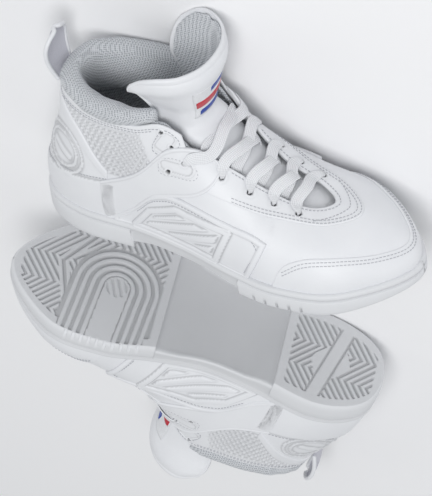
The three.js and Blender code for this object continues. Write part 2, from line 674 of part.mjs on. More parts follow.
// A flat ribbon through the stops; its width stays square to its run and to the surface under it.
function lace() {
  const stops = laceStops();
  const rim = stops.map((stop, i) => {
    const before = stops[Math.max(0, i - 1)].at;
    const after = stops[Math.min(stops.length - 1, i + 1)].at;
    const along = after.clone().sub(before).normalize();
    const far = new THREE.Vector3().crossVectors(along, stop.out).normalize();
    return { ...stop, along, far };
  });
  rim.forEach((stop, i) => {
    if (i > 0 && stop.far.dot(rim[i - 1].far) < 0) stop.far.negate();
  });
  const grid = (face) => rim.map(({ at, along, far, folded }) => {
    const [width, thick] = folded ? FOLDED : LACE;
    const normal = new THREE.Vector3().crossVectors(far, along).normalize();
    const middle = at.clone().addScaledVector(normal, face * thick / 2);
    return [-0.5, 0.5].map((w) => middle.clone().addScaledVector(far, w * width));
  });
  return wall(grid(1), grid(-1));
}

// ---- assembly ------------------------------------------------------------------------------
const COLOURS = {
  leather: [0xecedf1, 0.45, 0],
  rubber: [0xdfe0e3, 0.55, 0],
  mesh: [0xc9ccd0, 0.85, 0],
  lace: [0xeef0f2, 0.8, 0],
  board: [0xc9b48c, 0.8, 0],
  steel: [0x8f959b, 0.35, 1],
  foam: [0xb9bcc2, 0.9, 0],
  plastic: [0xdedede, 0.5, 0],
  mark: [0x2b4fb0, 0.5, 0],
};

function shoePieces() {
  const pieces = [
    ['outsole_forefoot', outsoleForefoot(), 'rubber'],
    ['outsole_heel', outsoleHeel(), 'rubber'],
    ['midsole', midsole(), 'rubber'],
    ['shank', shank(), 'steel'],
    ['insole_board', insoleBoard(), 'board'],
    ['footbed', footbed(), 'foam'],
    ['toe_puff', stiffener(lines(7.2, 8.8), 0.34), 'plastic'],
    ['heel_stiffener', stiffener(lines(-2, 2), 0.6), 'plastic'],
    ['lining', lining(), 'mesh'],
    ['collar_pad', collarPad(), 'mesh'],
    ['tongue_lower', tongueLower(), 'leather'],
    ['tongue_flap', tongueFlap(), 'leather'],
    ['tongue_mark', tongueMark(), 'mark'],
    ['pull_tab', pullTab(), 'lace'],
    ['lace', lace(), 'lace'],
  ];
  for (const [name, make] of Object.entries(pieceOf)) {
    pieces.push([name, make(), 'leather']);
  }
  for (const side of ['lateral', 'medial']) {
    pieces.push([`quarter_${side}`, quarter(side), 'leather']);
    pieces.push([`saddle_${side}`, saddle(side), 'leather']);
    pieces.push([`ankle_wrap_${side}`, ankleWrap(side), 'leather']);
    pieces.push([`ankle_panel_${side}`, anklePanel(side), 'leather']);
    pieces.push([`heel_strip_${side}`, heelStrip(side), 'leather']);
  }
  return pieces;
}

// Grams per cubic millimetre, for the centre of gravity that each shoe rests on.
const DENSITY = {
  leather: 9e-4, rubber: 1.1e-3, mesh: 3e-4, lace: 5e-4, board: 9e-4, steel: 7.9e-3, foam: 2e-4,
  plastic: 1e-3, mark: 1e-3,
};

function cornersOf(geometry) {
  const at = geometry.attributes.position;
  return Array.from({ length: at.count }, (_, i) => new THREE.Vector3().fromBufferAttribute(at, i));
}

function centreOfGravity(pieces) {
  const sum = new THREE.Vector3();
  let mass = 0;
  for (const [, geometry, finish] of pieces) {
    const points = cornersOf(geometry);
    const index = geometry.index.array;
    for (let k = 0; k < index.length; k += 3) {
      const [a, b, c] = [points[index[k]], points[index[k + 1]], points[index[k + 2]]];
      const share = DENSITY[finish] * a.dot(new THREE.Vector3().crossVectors(b, c)) / 6;
      sum.addScaledVector(a, share / 4).addScaledVector(b, share / 4).addScaledVector(c, share / 4);
      mass += share;
    }
  }
  return sum.divideScalar(mass);
}

// The face of the shoe's convex hull that it rests on: the one most on its left-hand side, with
// the centre of gravity over it.
function restingNormal(pieces) {
  const centre = centreOfGravity(pieces);
  const hull = new ConvexHull().setFromPoints(pieces.flatMap(([, geometry]) => cornersOf(geometry)));
  const left = new THREE.Vector3(0, 1, 0);
  let best = null;
  for (const face of hull.faces) {
    const corners = [0, 1, 2].map((i) => face.getEdge(i).head().point);
    const over = corners.every((p, i) => {
      const edge = corners[(i + 1) % 3].clone().sub(p);
      return edge.cross(centre.clone().sub(p)).dot(face.normal) >= 0;
    });
    if (over && (best === null || face.normal.dot(left) > best.dot(left))) best = face.normal.clone();
  }
  return best;
}

// Turns the resting face down and the shoe's length along the floor's X.
function layDown(pieces, toeSign) {
  const down = restingNormal(pieces);
  const up = down.clone().negate();
  const length = new THREE.Vector3(toeSign, 0, 0);
  length.addScaledVector(down, -length.dot(down)).normalize();
  const across = new THREE.Vector3().crossVectors(up, length);
  return new THREE.Matrix4().makeBasis(length, across, up).transpose();
}

function mirrored(geometry) {
  const g = geometry.clone().scale(1, -1, 1);
  const index = g.index.array;
  const turned = new Uint32Array(index.length);
  for (let k = 0; k < index.length; k += 3) {
    turned.set([index[k], index[k + 2], index[k + 1]], k);
  }
  return g.setIndex(new THREE.BufferAttribute(turned, 1));
}

function shoe(prefix, pieces, toeSign) {
  const one = new THREE.Group();
  for (const [name, geometry, finish] of pieces) {
    const [color, roughness, metalness] = COLOURS[finish];
    const mesh = new THREE.Mesh(geometry, new THREE.MeshStandardMaterial({ color, roughness, metalness }));
    mesh.name = `${prefix}_${name}`;
    one.add(mesh);
  }
  one.applyMatrix4(layDown(pieces, toeSign));
  return one;
}

// Lifts or lowers a shoe until it stands on the floor.
function onFloor(one) {
  one.position.z -= new THREE.Box3().setFromObject(one, true).min.z;
  return one;
}

const rightPieces = shoePieces();
const leftPieces = rightPieces.map(([name, geometry, finish]) => [name, mirrored(geometry), finish]);
const right = shoe('right', rightPieces, -1);
const left = shoe('left', leftPieces, 1);
const turn = new THREE.Group();
turn.rotation.z = THREE.MathUtils.degToRad(LEFT_YAW);
turn.add(onFloor(left));
turn.position.set(...LEFT_AT, 0);

const pair = new THREE.Group();
pair.add(onFloor(right), turn);
const extent = new THREE.Box3().setFromObject(pair, true);
const middle = extent.getCenter(new THREE.Vector3());
pair.position.set(-middle.x, -middle.y, 0);

export default pair;
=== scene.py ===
import bmesh
import bpy
import numpy as np
from mathutils import Matrix, Vector


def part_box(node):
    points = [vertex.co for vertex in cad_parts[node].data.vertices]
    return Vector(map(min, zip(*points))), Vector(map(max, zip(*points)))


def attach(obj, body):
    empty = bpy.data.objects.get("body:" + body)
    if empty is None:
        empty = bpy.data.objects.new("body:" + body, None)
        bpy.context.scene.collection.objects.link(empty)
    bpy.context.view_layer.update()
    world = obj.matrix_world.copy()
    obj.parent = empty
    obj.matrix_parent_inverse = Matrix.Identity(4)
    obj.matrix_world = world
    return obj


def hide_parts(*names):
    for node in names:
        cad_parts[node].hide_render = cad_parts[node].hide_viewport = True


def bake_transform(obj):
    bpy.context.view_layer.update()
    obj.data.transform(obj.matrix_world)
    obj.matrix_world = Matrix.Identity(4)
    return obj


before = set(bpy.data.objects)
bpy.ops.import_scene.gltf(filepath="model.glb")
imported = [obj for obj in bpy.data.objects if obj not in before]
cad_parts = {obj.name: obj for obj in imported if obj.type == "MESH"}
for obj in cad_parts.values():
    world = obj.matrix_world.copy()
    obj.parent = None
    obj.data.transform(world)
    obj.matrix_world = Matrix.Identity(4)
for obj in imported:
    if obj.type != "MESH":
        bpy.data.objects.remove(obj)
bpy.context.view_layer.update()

# ---- How the two shoes lie -------------------------------------------------------------------
# A pair: the right shoe on its medial side, the left one on its lateral side, sole to sole.
# Each shape is worked out once, in millimetres in the right shoe's own frame (x from the heel to
# the toe, z up from the ground, the lateral side at -y), and then laid into both shoes.
SIDES = ("right", "left")
SHANK_CENTRE = np.array([100, 0, 14.0])


def corners_of(node):
    """The separate corner points of a CAD node, in metres."""
    found = []
    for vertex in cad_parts[node].data.vertices:
        if all((vertex.co - other).length > 1e-5 for other in found):
            found.append(vertex.co.copy())
    return np.array(found)


def middle_of(node):
    """Middle of a node's box, in metres."""
    low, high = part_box(node)
    return np.array((low + high) / 2)


def shoe_basis(side):
    """Heel point and the shoe's length, width and height directions, from its flat shank plate.
    The plate's longest direction is the shoe's length and its thinnest is the shoe's height."""
    corners = corners_of(f"{side}_shank")
    centre = corners.mean(0)
    length, _, height = np.linalg.svd(corners - centre)[2]
    forwards = middle_of(f"{side}_outsole_forefoot") - middle_of(f"{side}_outsole_heel")
    upwards = middle_of(f"{side}_collar_pad") - centre
    length *= np.sign(length @ forwards)
    height *= np.sign(height @ upwards)
    width = np.cross(height, length) * (1 if side == "right" else -1)
    basis = np.stack([length, width, height])
    return centre - SHANK_CENTRE / 1000 @ basis, basis


LAY = {side: shoe_basis(side) for side in SIDES}


def laid(side, points):
    """Points in mm in the right shoe's frame as metres in the row frame, on one of the shoes."""
    heel, basis = LAY[side]
    return heel + np.asarray(points, float).reshape(-1, 3) / 1000 @ basis


# ---- Floor, light and camera -----------------------------------------------------------------
# A plain pale floor under soft studio light: a wide key above the collar side, a fill from the
# toe side and a pale surround, so that the white leather keeps its shading.
CAMERA_FROM_HEEL = np.array([-0.756, -1.348, 1.121])   # from the right shoe's heel point
CAMERA_RIGHT = np.array([-0.9185, 0.1241, -0.3753])
CAMERA_DOWN = np.array([-0.2005, 0.6721, 0.7128])
FOCAL_LENGTH = 203                                     # on a 36 mm sensor
FLOOR_REACH = 3


def unit(vectors):
    """Vectors divided by their lengths."""
    return vectors / np.linalg.norm(vectors, axis=-1, keepdims=True)


def placed(name, data):
    """A new object in the scene that shows some data."""
    thing = bpy.data.objects.new(name, data)
    bpy.context.scene.collection.objects.link(thing)
    return thing


def set_sockets(tree, node, sockets):
    """Gives each named input of a node its constant, or links it to another node's output."""
    for socket, value in sockets.items():
        if isinstance(value, bpy.types.NodeSocket):
            tree.links.new(value, node.inputs[socket])
        else:
            node.inputs[socket].default_value = value


def add_node(tree, kind, sockets, **settings):
    """Adds a shader node with its settings and inputs, and returns its outputs."""
    node = tree.nodes.new("ShaderNode" + kind)
    for setting, value in settings.items():
        setattr(node, setting, value)
    set_sockets(tree, node, sockets)
    return node.outputs


def new_finish(name):
    """A new material, with its node tree and its shader node."""
    made = bpy.data.materials.new(name)
    made.use_nodes = True
    return made, made.node_tree, made.node_tree.nodes["Principled BSDF"]


camera = placed("camera", bpy.data.cameras.new("camera"))
bpy.context.scene.camera = camera
camera.data.lens = FOCAL_LENGTH
camera.data.clip_start = 0.05
right_way = unit(CAMERA_RIGHT)
down_way = unit(CAMERA_DOWN - right_way * (CAMERA_DOWN @ right_way))
camera_turn = np.stack([right_way, -down_way, -np.cross(right_way, down_way)], 1)
camera_place = Matrix.Translation(LAY["right"][0] + CAMERA_FROM_HEEL)
camera.matrix_world = camera_place @ Matrix(camera_turn).to_4x4()

floor_mesh = bpy.data.meshes.new("floor")
floor_corners = [(FLOOR_REACH * x, FLOOR_REACH * y, 0) for x, y in ((-1, -1), (1, -1), (1, 1), (-1, 1))]
floor_mesh.from_pydata(floor_corners, [], [(0, 1, 2, 3)])
placed("floor", floor_mesh)
floor_paint, floor_tree, floor_shader = new_finish("floor_paint")
set_sockets(floor_tree, floor_shader, {"Base Color": (0.93, 0.93, 0.94, 1), "Roughness": 0.9,
                                       "Specular IOR Level": 0.2})
floor_mesh.materials.append(floor_paint)

surround = bpy.data.worlds.new("surround")
bpy.context.scene.world = surround
surround.use_nodes = True
set_sockets(surround.node_tree, surround.node_tree.nodes["Background"],
            {"Color": (0.96, 0.98, 1, 1), "Strength": 0.48})
bpy.context.scene.view_settings.view_transform = "Standard"

for lamp_name, place, width, power in (
    ("key", (-0.5, -1.0, 1.7), 0.9, 18),
    ("toe_fill", (-1.5, 0.5, 0.9), 1.2, 2.5),
    ("heel_fill", (1.5, -0.3, 0.8), 1.0, 2),
):
    lamp_data = bpy.data.lights.new(lamp_name, "AREA")
    lamp_data.size = width
    lamp_data.energy = power
    lamp = placed(lamp_name, lamp_data)
    lamp.location = place
    lamp.rotation_mode = "QUATERNION"
    lamp.rotation_quaternion = Vector(place).to_track_quat("Z", "Y")

# ---- Heel counter ----------------------------------------------------------------------------
# The moulded leather cup round the heel, under the slanting heel strips. Its lower part is a
# smooth raised foxing that runs on into the ankle wraps, and a round relief sits on each side.
# Each station of the upper's skin is a cubic Bezier from the foot line to the topline.
STATIONS = np.array([
    [[6, 0, 22], [0, 0, 50], [27, 0, 84], [27, 0, 116]],
    [[14, -21, 22], [9, -24, 50], [32, -20, 86], [35, -20, 116]],
    [[42, -32, 22], [42, -37, 50], [55, -32, 85], [60, -31, 113]],
    [[85, -32, 21], [86, -38, 50], [91, -35, 86], [91, -33, 114]],
    [[122, -36, 20], [121, -43, 48], [118, -35, 86], [114, -28, 116]],
    [[158, -43, 18], [158, -48, 42], [151, -37, 70], [145, -20, 88]],
    [[192, -46, 17], [194, -50, 37], [185, -37, 55], [173, -14, 67]],
    [[232, -36, 18], [237, -39, 36], [222, -27, 50], [199, -10, 56]],
    [[266, 4, 19], [271, 4, 36], [246, 4, 49], [212, 2, 54]],
    [[232, 42, 18], [237, 44, 37], [222, 31, 52], [199, 12, 56]],
    [[192, 45, 17], [194, 49, 39], [185, 37, 58], [173, 14, 67]],
    [[158, 35, 18], [158, 42, 44], [151, 35, 72], [145, 20, 88]],
    [[122, 26, 20], [121, 36, 48], [118, 33, 86], [115, 29, 117]],
    [[85, 27, 21], [86, 35, 50], [91, 34, 86], [91, 33, 114]],
    [[42, 32, 22], [42, 37, 50], [55, 32, 85], [60, 31, 113]],
    [[14, 21, 22], [9, 24, 50], [32, 20, 86], [35, 20, 116]],
], float)
ROUND = len(STATIONS)
LEATHER = 1.4


def skin(u, v):
    """The upper's surface: a Catmull-Rom spline round the stations at u (0 at the heel, under 8
    on the lateral side, 8 at the toe), and a cubic Bezier up them at v (0 foot, 1 topline)."""
    u, v = np.broadcast_arrays(np.asarray(u, float), np.asarray(v, float))
    station = np.floor(u).astype(int)
    t = u - station
    around = (-0.5 * t + t**2 - 0.5 * t**3, 1 - 2.5 * t**2 + 1.5 * t**3,
              0.5 * t + 2 * t**2 - 1.5 * t**3, -0.5 * t**2 + 0.5 * t**3)
    up = ((1 - v)**3, 3 * v * (1 - v)**2, 3 * v**2 * (1 - v), v**3)
    return sum((a * b)[..., None] * STATIONS[(station + k - 1) % ROUND, j]
               for k, a in enumerate(around) for j, b in enumerate(up))


def upper(u, v, out):
    """The skin moved along its outward normal, the cross product of its slopes in u and v."""
    step = 0.01
    u, v, out = np.broadcast_arrays(np.asarray(u, float), np.asarray(v, float), np.asarray(out, float))
    normal = np.cross(skin(u + step, v) - skin(u - step, v), skin(u, v + step) - skin(u, v - step))
    return skin(u, v) + unit(normal) * out[..., None]


def spline(points, s):
    """Catmull-Rom curve through points at shares s of its chord length."""
    points = np.asarray(points, float)
    chord = np.linalg.norm(np.diff(points, axis=0), axis=1)
    knots = np.concatenate([[0], np.cumsum(chord)]) / chord.sum()
    slope = np.gradient(points, knots, axis=0)
    s = np.clip(s, 0, 1)
    k = np.clip(np.searchsorted(knots, s, side="right") - 1, 0, len(points) - 2)
    width = (knots[k + 1] - knots[k])[:, None]
    t = ((s - knots[k]) / (knots[k + 1] - knots[k]))[:, None]
    return ((1 + 2 * t) * (1 - t)**2 * points[k] + t * (1 - t)**2 * width * slope[k]
            + t**2 * (3 - 2 * t) * points[k + 1] + t**2 * (t - 1) * width * slope[k + 1])


def crowded_ends(n):
    """n + 1 numbers from 0 to 1, closer together at both ends, for rounded edges there."""
    x = np.linspace(0, 1, n + 1)
    return 0.6 * (1 - np.cos(np.pi * x)) / 2 + 0.4 * x


def ruled(low, high, across, steps):
    """u and v of a grid between a lower and an upper path of [u, v] points, straight in v."""
    a = spline(low, crowded_ends(across))
    b = spline(high, crowded_ends(across))
    t = crowded_ends(steps)[None, :, None]
    grid = a[:, None] + (b - a)[:, None] * t
    return grid[..., 0], grid[..., 1]


def from_edge(points, seamless=False):
    """Distance in mm of each point of a grid from the grid's nearest edge, along its lines.
    seamless leaves out the first edge, where a panel runs on from its neighbour."""
    nearest = np.full(points.shape[:2], 1e9)
    for axis in (0, 1):
        step = np.linalg.norm(np.diff(points, axis=axis), axis=2)
        start = np.zeros((1, step.shape[1])) if axis == 0 else np.zeros((step.shape[0], 1))
        run = np.concatenate([start, np.cumsum(step, axis)], axis)
        total = run[-1:] if axis == 0 else run[:, -1:]
        nearest = np.minimum(nearest, total - run)
        if axis == 1 or not seamless:
            nearest = np.minimum(nearest, run)
    return nearest


def painted_crease_shade(height):
    """Painted shade: how far each point of a height grid lies under the mean of its surroundings, as a share
    of a darkening, so that creases and the foot of every step come out a little darker, as if shaded."""
    mean = height
    for _ in range(3):
        wide = np.pad(mean, 1, mode="edge")
        mean = (wide[:-2, 1:-1] + wide[2:, 1:-1] + wide[1:-1, :-2] + wide[1:-1, 2:]
                + wide[1:-1, 1:-1]) / 5
    return np.clip(1.6 * (mean - height), 0, 0.32)


def rounded(d, radius):
    """Quarter circle rising from 0 at an edge to 1 at radius inside it."""
    return np.sqrt(np.clip(1 - (1 - np.clip(d / radius, 0, 1))**2, 0, 1))


def eased(a, b, x):
    """Smooth step from 0 at a to 1 at b."""
    t = np.clip((x - a) / (b - a), 0, 1)
    return t * t * (3 - 2 * t)


def ridge(d, width, height):
    """A round-topped welt of a width and height, centred where d is 0."""
    return height * np.clip(1 - (2 * d / width)**2, 0, 1)**0.7


def grid_faces(rows, cols, ring=False):
    """Quads of a grid of points numbered row by row; ring closes the last row on the first."""
    i = np.arange(rows if ring else rows - 1)[:, None]
    j = np.arange(cols - 1)[None, :]
    here = i * cols + j
    there = (i + 1) % rows * cols + j
    return np.stack([here, there, there + 1, here + 1], -1).reshape(-1, 4)


def closed_shell(outer, inner, ring=False):
    """Points and faces of the closed wall between two grids of the same size."""
    rows, cols = outer.shape[:2]
    count = rows * cols
    face = grid_faces(rows, cols, ring)
    i = np.arange(rows if ring else rows - 1)
    rims = []
    for j in (0, cols - 1):
        here, there = i * cols + j, (i + 1) % rows * cols + j
        rims.append(np.stack([here, here + count, there + count, there], 1)[:, ::1 if j == 0 else -1])
    if not ring:
        j = np.arange(cols - 1)
        for i in (0, rows - 1):
            here = i * cols + j
            rim = np.stack([here, here + 1, here + 1 + count, here + count], 1)
            rims.append(rim[:, ::1 if i == 0 else -1])
    faces = np.concatenate([face, face[:, ::-1] + count, *rims])
    return np.concatenate([outer.reshape(-1, 3), inner.reshape(-1, 3)]), faces


def piece(name, points, faces, finish, nodes, body="shoe", uv=None, shade=None):
    """Makes one shape in both shoes and returns both objects. It stands for nodes and rides on a
    body, both named without their side. uv and shade are values at its points."""
    made = []
    for side in SIDES:
        mesh = bpy.data.meshes.new(f"{side}_{name}")
        turned = faces if side == "right" else [face[::-1] for face in faces]
        mesh.from_pydata(laid(side, points).tolist(), [], [list(map(int, face)) for face in turned])
        if uv is not None:
            layer = mesh.uv_layers.new(name="UVMap")
            index = np.zeros(len(mesh.loops), int)
            mesh.loops.foreach_get("vertex_index", index)
            layer.data.foreach_set("uv", np.asarray(uv, np.float32).reshape(-1, 2)[index].ravel())
        if shade is not None:
            mark = mesh.attributes.new("shade", "FLOAT", "POINT")
            mark.data.foreach_set("value", np.asarray(shade, np.float32).ravel())
        work = bmesh.new()
        work.from_mesh(mesh)
        bmesh.ops.remove_doubles(work, verts=work.verts, dist=2e-6)
        bmesh.ops.dissolve_degenerate(work, edges=work.edges, dist=1e-7)
        bmesh.ops.recalc_face_normals(work, faces=work.faces)
        work.to_mesh(mesh)
        work.free()
        mesh.shade_smooth()
        thing = placed(f"{side}_{name}", mesh)
        mesh.materials.append(finish)
        if nodes:
            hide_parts(*[f"{side}_{node}" for node in nodes])
        if body:
            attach(thing, f"{side}_{body}")
        made.append(thing)
    return made


def shader_group(name, control, start, *results):
    """A new shader node group with one numeric control and some numeric results: the group and
    the control's output inside it."""
    group = bpy.data.node_groups.new(name, "ShaderNodeTree")
    group.interface.new_socket(control, in_out="INPUT", socket_type="NodeSocketFloat").default_value = start
    for result in results:
        group.interface.new_socket(result, in_out="OUTPUT", socket_type="NodeSocketFloat")
    return group, group.nodes.new("NodeGroupInput").outputs[control]


def mixed(tree, factor, low, high):
    """A colour between two by a factor. Each end is a colour or another node's output."""
    ends = [(*end, 1) if isinstance(end, tuple) else end for end in (low, high)]
    return add_node(tree, "Mix", {"Factor": factor, "A": ends[0], "B": ends[1]}, data_type="RGBA")["Result"]


def bumped(tree, height, strength, distance=0.0003):
    """A normal bent by a height."""
    return add_node(tree, "Bump", {"Height": height, "Strength": strength, "Distance": distance})["Normal"]


# Leather grain: small cells and slower creases as a height, and a cloudy mask for colour.
grain, grain_scale = shader_group("leather_grain", "Cell Scale", 1500, "Height", "Cloud")
grain_place = add_node(grain, "TexCoord", {})["Object"]
grain_cells = add_node(grain, "TexVoronoi", {"Vector": grain_place, "Scale": grain_scale},
                       feature="DISTANCE_TO_EDGE")["Distance"]
grain_cloud = add_node(grain, "TexNoise", {"Vector": grain_place, "Scale": 38, "Detail": 5})["Fac"]
grain_fine = add_node(grain, "TexNoise", {"Vector": grain_place, "Scale": 420})["Fac"]
grain_sum = add_node(grain, "Math", {0: grain_cells, 1: grain_fine}, operation="ADD")["Value"]
set_sockets(grain, grain.nodes.new("NodeGroupOutput"), {"Height": grain_sum, "Cloud": grain_cloud})


def leather_finish(name, low, high, roughness, bump, cell):
    """Coated leather: two close whites mixed by the grain's cloud, darkened towards near black by the
    piece's shade attribute, which holds painted shade in holes, creases, hollows and the sole's underside,
    with the grain as a fine bump."""
    made, tree, shader = new_finish(name)
    cells = add_node(tree, "Group", {"Cell Scale": cell}, node_tree=grain)
    shade = add_node(tree, "Attribute", {}, attribute_name="shade")["Fac"]
    white = mixed(tree, cells["Cloud"], low, high)
    rough = add_node(tree, "MapRange", {"Value": cells["Cloud"], "To Min": roughness - 0.06,
                                        "To Max": roughness + 0.08})["Result"]
    # Painted shade: the shade attribute mixes the white towards near black.
    set_sockets(tree, shader, {"Base Color": mixed(tree, shade, white, (0.02, 0.02, 0.022)),
                               "Roughness": rough, "Normal": bumped(tree, cells["Height"], bump)})
    return made


white_leather = leather_finish("white_leather", (0.78, 0.79, 0.82), (0.86, 0.87, 0.89), 0.42, 0.25, 1500)
STITCHES = {}                    # rows of stitches as (u, v) paths, kept until they are sewn


def across_shoe(u, side):
    """A place round the shoe on the lateral side, or its mirror image on the medial side."""
    return u if side == "lateral" else ROUND - u


def leather_panel(name, node, low, high, size, base, rise, side="lateral", radius=1.0, detail=None,
                  seamless=False):
    """A leather panel over part of the skin. Its face stands base + rise over the skin inside a
    rounded edge of a radius; detail(u, v, points, d) adds relief and returns (height, painted shade), and
    painted crease shade from the relief is added to it."""
    u, v = ruled(low, high, *size)
    at = across_shoe(u, side)
    bare = skin(u, v)
    d = from_edge(skin(at, v), seamless)
    out = base + rise * rounded(d, radius)
    shade = np.zeros_like(d)
    if detail:
        more, shade = detail(u, v, bare, d)
        out = out + more
    # Painted shade: the relief's creases and the foot of each step are darkened.
    shade = np.maximum(shade, painted_crease_shade(out))
    outer = upper(at, v, out)
    inner = upper(at, v, np.full_like(out, -0.1))
    if side == "medial":
        outer, inner, shade = outer[::-1], inner[::-1], shade[::-1]
    points, faces = closed_shell(outer, inner)
    return piece(name, points, faces, white_leather, [node],
                 shade=np.concatenate([shade.ravel(), shade.ravel()]))


FOXING = [[-2.5, 0.39], [-1.85, 0.34], [-1.4, 0.31], [0, 0.29], [1.4, 0.31], [1.85, 0.34], [2.5, 0.39]]
RING_PLACES = ((1.4, 0.52), (-1.4, 0.52))
RING_RADII = (18.5, 13.5)


def counter_relief(u, v, bare, d):
    """A step down above the foxing, and two concentric rings with a slanted bar in the middle."""
    line = np.interp(u, *np.array(FOXING).T)
    height = 1.1 * (1 - eased(-0.004, 0.012, v - line))
    for ring_u, ring_v in RING_PLACES:
        away = bare - skin(ring_u, ring_v)
        r = np.linalg.norm(away, axis=-1)
        for radius in RING_RADII:
            height = height + ridge(r - radius, 2.0, 0.9)
        slant = np.abs(away[..., 0] * 0.5 + away[..., 2] * 0.87)
        height = height + 0.8 * (1 - eased(2.2, 3.0, slant)) * (1 - eased(9, 10, r))
    return height, 0 * u


leather_panel("heel_counter_leather", "heel_counter",
              [[-2.62, -0.02], [0, -0.02], [2.62, -0.02]],
              [[-2.62, 0.42], [-2.42, 0.5], [-1.95, 0.69], [-1.2, 0.85], [-0.45, 0.93], [0, 0.94],
               [0.45, 0.93], [1.2, 0.85], [1.95, 0.69], [2.42, 0.5], [2.62, 0.42]],
              (180, 80), 0.0, 1.2, detail=counter_relief)
STITCHES["counter"] = [[[u, v + 0.035] for u, v in FOXING]]

# ---- Vamp, quarters and ankle panels ---------------------------------------------------------
# The lowest layer of thin leather: the vamp over the toes, the quarters under the lace stay, and
# the ankle panels, which are pressed with rows of small pips and carry a patch with two holes.
PIP_PITCH = (4.2, 3.7)           # along and across the slanting rows
PIP_TURN = np.radians(62)
PATCH_MIDDLE = (3.9, 0.865)
PATCH_SIZE = (10, 15)
PATCH_HOLES = ((3.85, 0.94), (4.06, 0.855))


def local_mm(bare, u, v, turn=0.0):
    """Two coordinates in mm on the skin about the place (u, v), turned by an angle in radians."""
    middle = skin(u, v)
    along = unit(skin(u + 0.02, v) - skin(u - 0.02, v))
    up = skin(u, v + 0.02) - skin(u, v - 0.02)
    up = unit(up - along * (along @ up))
    a, b = (bare - middle) @ along, (bare - middle) @ up
    return a * np.cos(turn) + b * np.sin(turn), b * np.cos(turn) - a * np.sin(turn)


def rounded_box(a, b, width, height, radius):
    """Signed distance in mm from a rounded rectangle, negative inside."""
    x = np.abs(a) - width / 2 + radius
    y = np.abs(b) - height / 2 + radius
    return np.hypot(np.maximum(x, 0), np.maximum(y, 0)) + np.minimum(np.maximum(x, y), 0) - radius


def lace_hole(bare, u, v, radius, depth=1.6, rim=0.35):
    """A punched hole as (height, shade): a raised rim round a pit, with painted shade in the pit."""
    r = np.linalg.norm(bare - skin(u, v), axis=-1)
    pit = 1 - eased(radius - 0.35, radius + 0.15, r)
    return rim * np.exp(-((r - radius - 0.8) / 0.6)**2) - depth * pit, pit


def ankle_relief(u, v, bare, d):
    """Pips where the two cosines of the turned coordinates peak, inside a rounded field, with painted shade
    in the field between the pips, and a sunken patch with two holes near the front."""
    x, z = bare[..., 0], bare[..., 2]
    a = x * np.cos(PIP_TURN) + z * np.sin(PIP_TURN)
    b = z * np.cos(PIP_TURN) - x * np.sin(PIP_TURN)
    row = np.round(b / PIP_PITCH[1])
    a = a + (row % 2) * PIP_PITCH[0] / 2
    pip = np.clip(np.cos(2 * np.pi * a / PIP_PITCH[0]) + 0.25, 0, 1) \
        * np.clip(np.cos(2 * np.pi * b / PIP_PITCH[1]) + 0.1, 0, 1)
    field = eased(5, 6.5, d) * (1 - eased(98, 101, x + 0.25 * (z - 95)))
    height = 1.1 * pip**0.7 * field - 0.3 * field
    pa, pb = local_mm(bare, *PATCH_MIDDLE, turn=-0.35)
    box = rounded_box(pa, pb, *PATCH_SIZE, 3)
    height = height - 0.5 * (1 - eased(-0.5, 0.3, box)) + ridge(box, 1.2, 0.35)
    # Painted shade in the hollows of the field between the pips.
    shade = 0.1 * field * (1 - pip)
    for hole_u, hole_v in PATCH_HOLES:
        more, dark = lace_hole(bare, hole_u, hole_v, 1.3)
        height, shade = height + more, np.maximum(shade, dark)
    return height, shade


VAMP_LOW = [[5.2, -0.02], [5.8, -0.02], [6.1, 0.1], [6.6, 0.15], [7.2, 0.2], [8, 0.2]]
VAMP_HIGH = [[5.7, 0.78], [6.13, 0.8], [6.45, 0.85], [7.1, 0.88], [8, 0.87]]


def both_sides(path):
    """A path from one side round the toe to its mirror image on the other side."""
    return path + [[ROUND - u, v] for u, v in path[-2::-1]]


leather_panel("vamp_leather", "vamp", both_sides(VAMP_LOW), both_sides(VAMP_HIGH), (150, 40), 0.1, 1.0)
for side in ("lateral", "medial"):
    leather_panel(f"quarter_{side}_leather", f"quarter_{side}",
                  [[3.9, 0.42], [4.6, 0.44], [5.2, 0.45], [5.95, 0.45]],
                  [[3.9, 0.58], [4.6, 0.72], [5.4, 0.8], [6.2, 0.83]], (70, 24), 0.1, 1.0, side)
    leather_panel(f"ankle_panel_{side}_leather", f"ankle_panel_{side}",
                  [[0.25, 0.88], [1.2, 0.78], [1.95, 0.62], [2.5, 0.42], [3.33, 0.58], [4.0, 0.78],
                   [4.4, 0.88]],
                  [[0.25, 1.0], [1.1, 1.0], [1.9, 1.0], [2.6, 1.0], [3.3, 1.0], [3.9, 1.0], [4.3, 1.0]],
                  (200, 104), 0.1, 1.2, side, detail=ankle_relief)
STITCHES["topline"] = [[[0.45, 0.955], [1.2, 0.957], [2, 0.962], [3, 0.965], [3.9, 0.962]],
                       [[0.45, 0.935], [1.2, 0.937], [2, 0.942], [3, 0.945], [3.6, 0.945]]]

# ---- Saddles ---------------------------------------------------------------------------------
# The big side panels: a smooth piped border, one row of stitches inside it, and an embossed
# frame with four slanting bars in the middle.
SADDLE_HIGH = [[2.55, 0.06], [2.95, 0.23], [3.33, 0.39], [3.7, 0.455], [4.4, 0.49], [5.2, 0.525],
               [5.7, 0.545], [5.9, 0.52]]
SADDLE_LOW = [[2.55, -0.02], [2.9, -0.02], [3.2, -0.02], [3.5, -0.02], [4, -0.02], [4.7, -0.02],
              [5.15, -0.02], [5.37, -0.02]]
FRAME_CORNERS = [[82, 24], [97, 44], [119, 55], [158, 50], [146, 22]]     # x and z in mm
BAR_SLOPE = 0.42
BAR_STARTS = (20, 29.5, 39, 48.5)


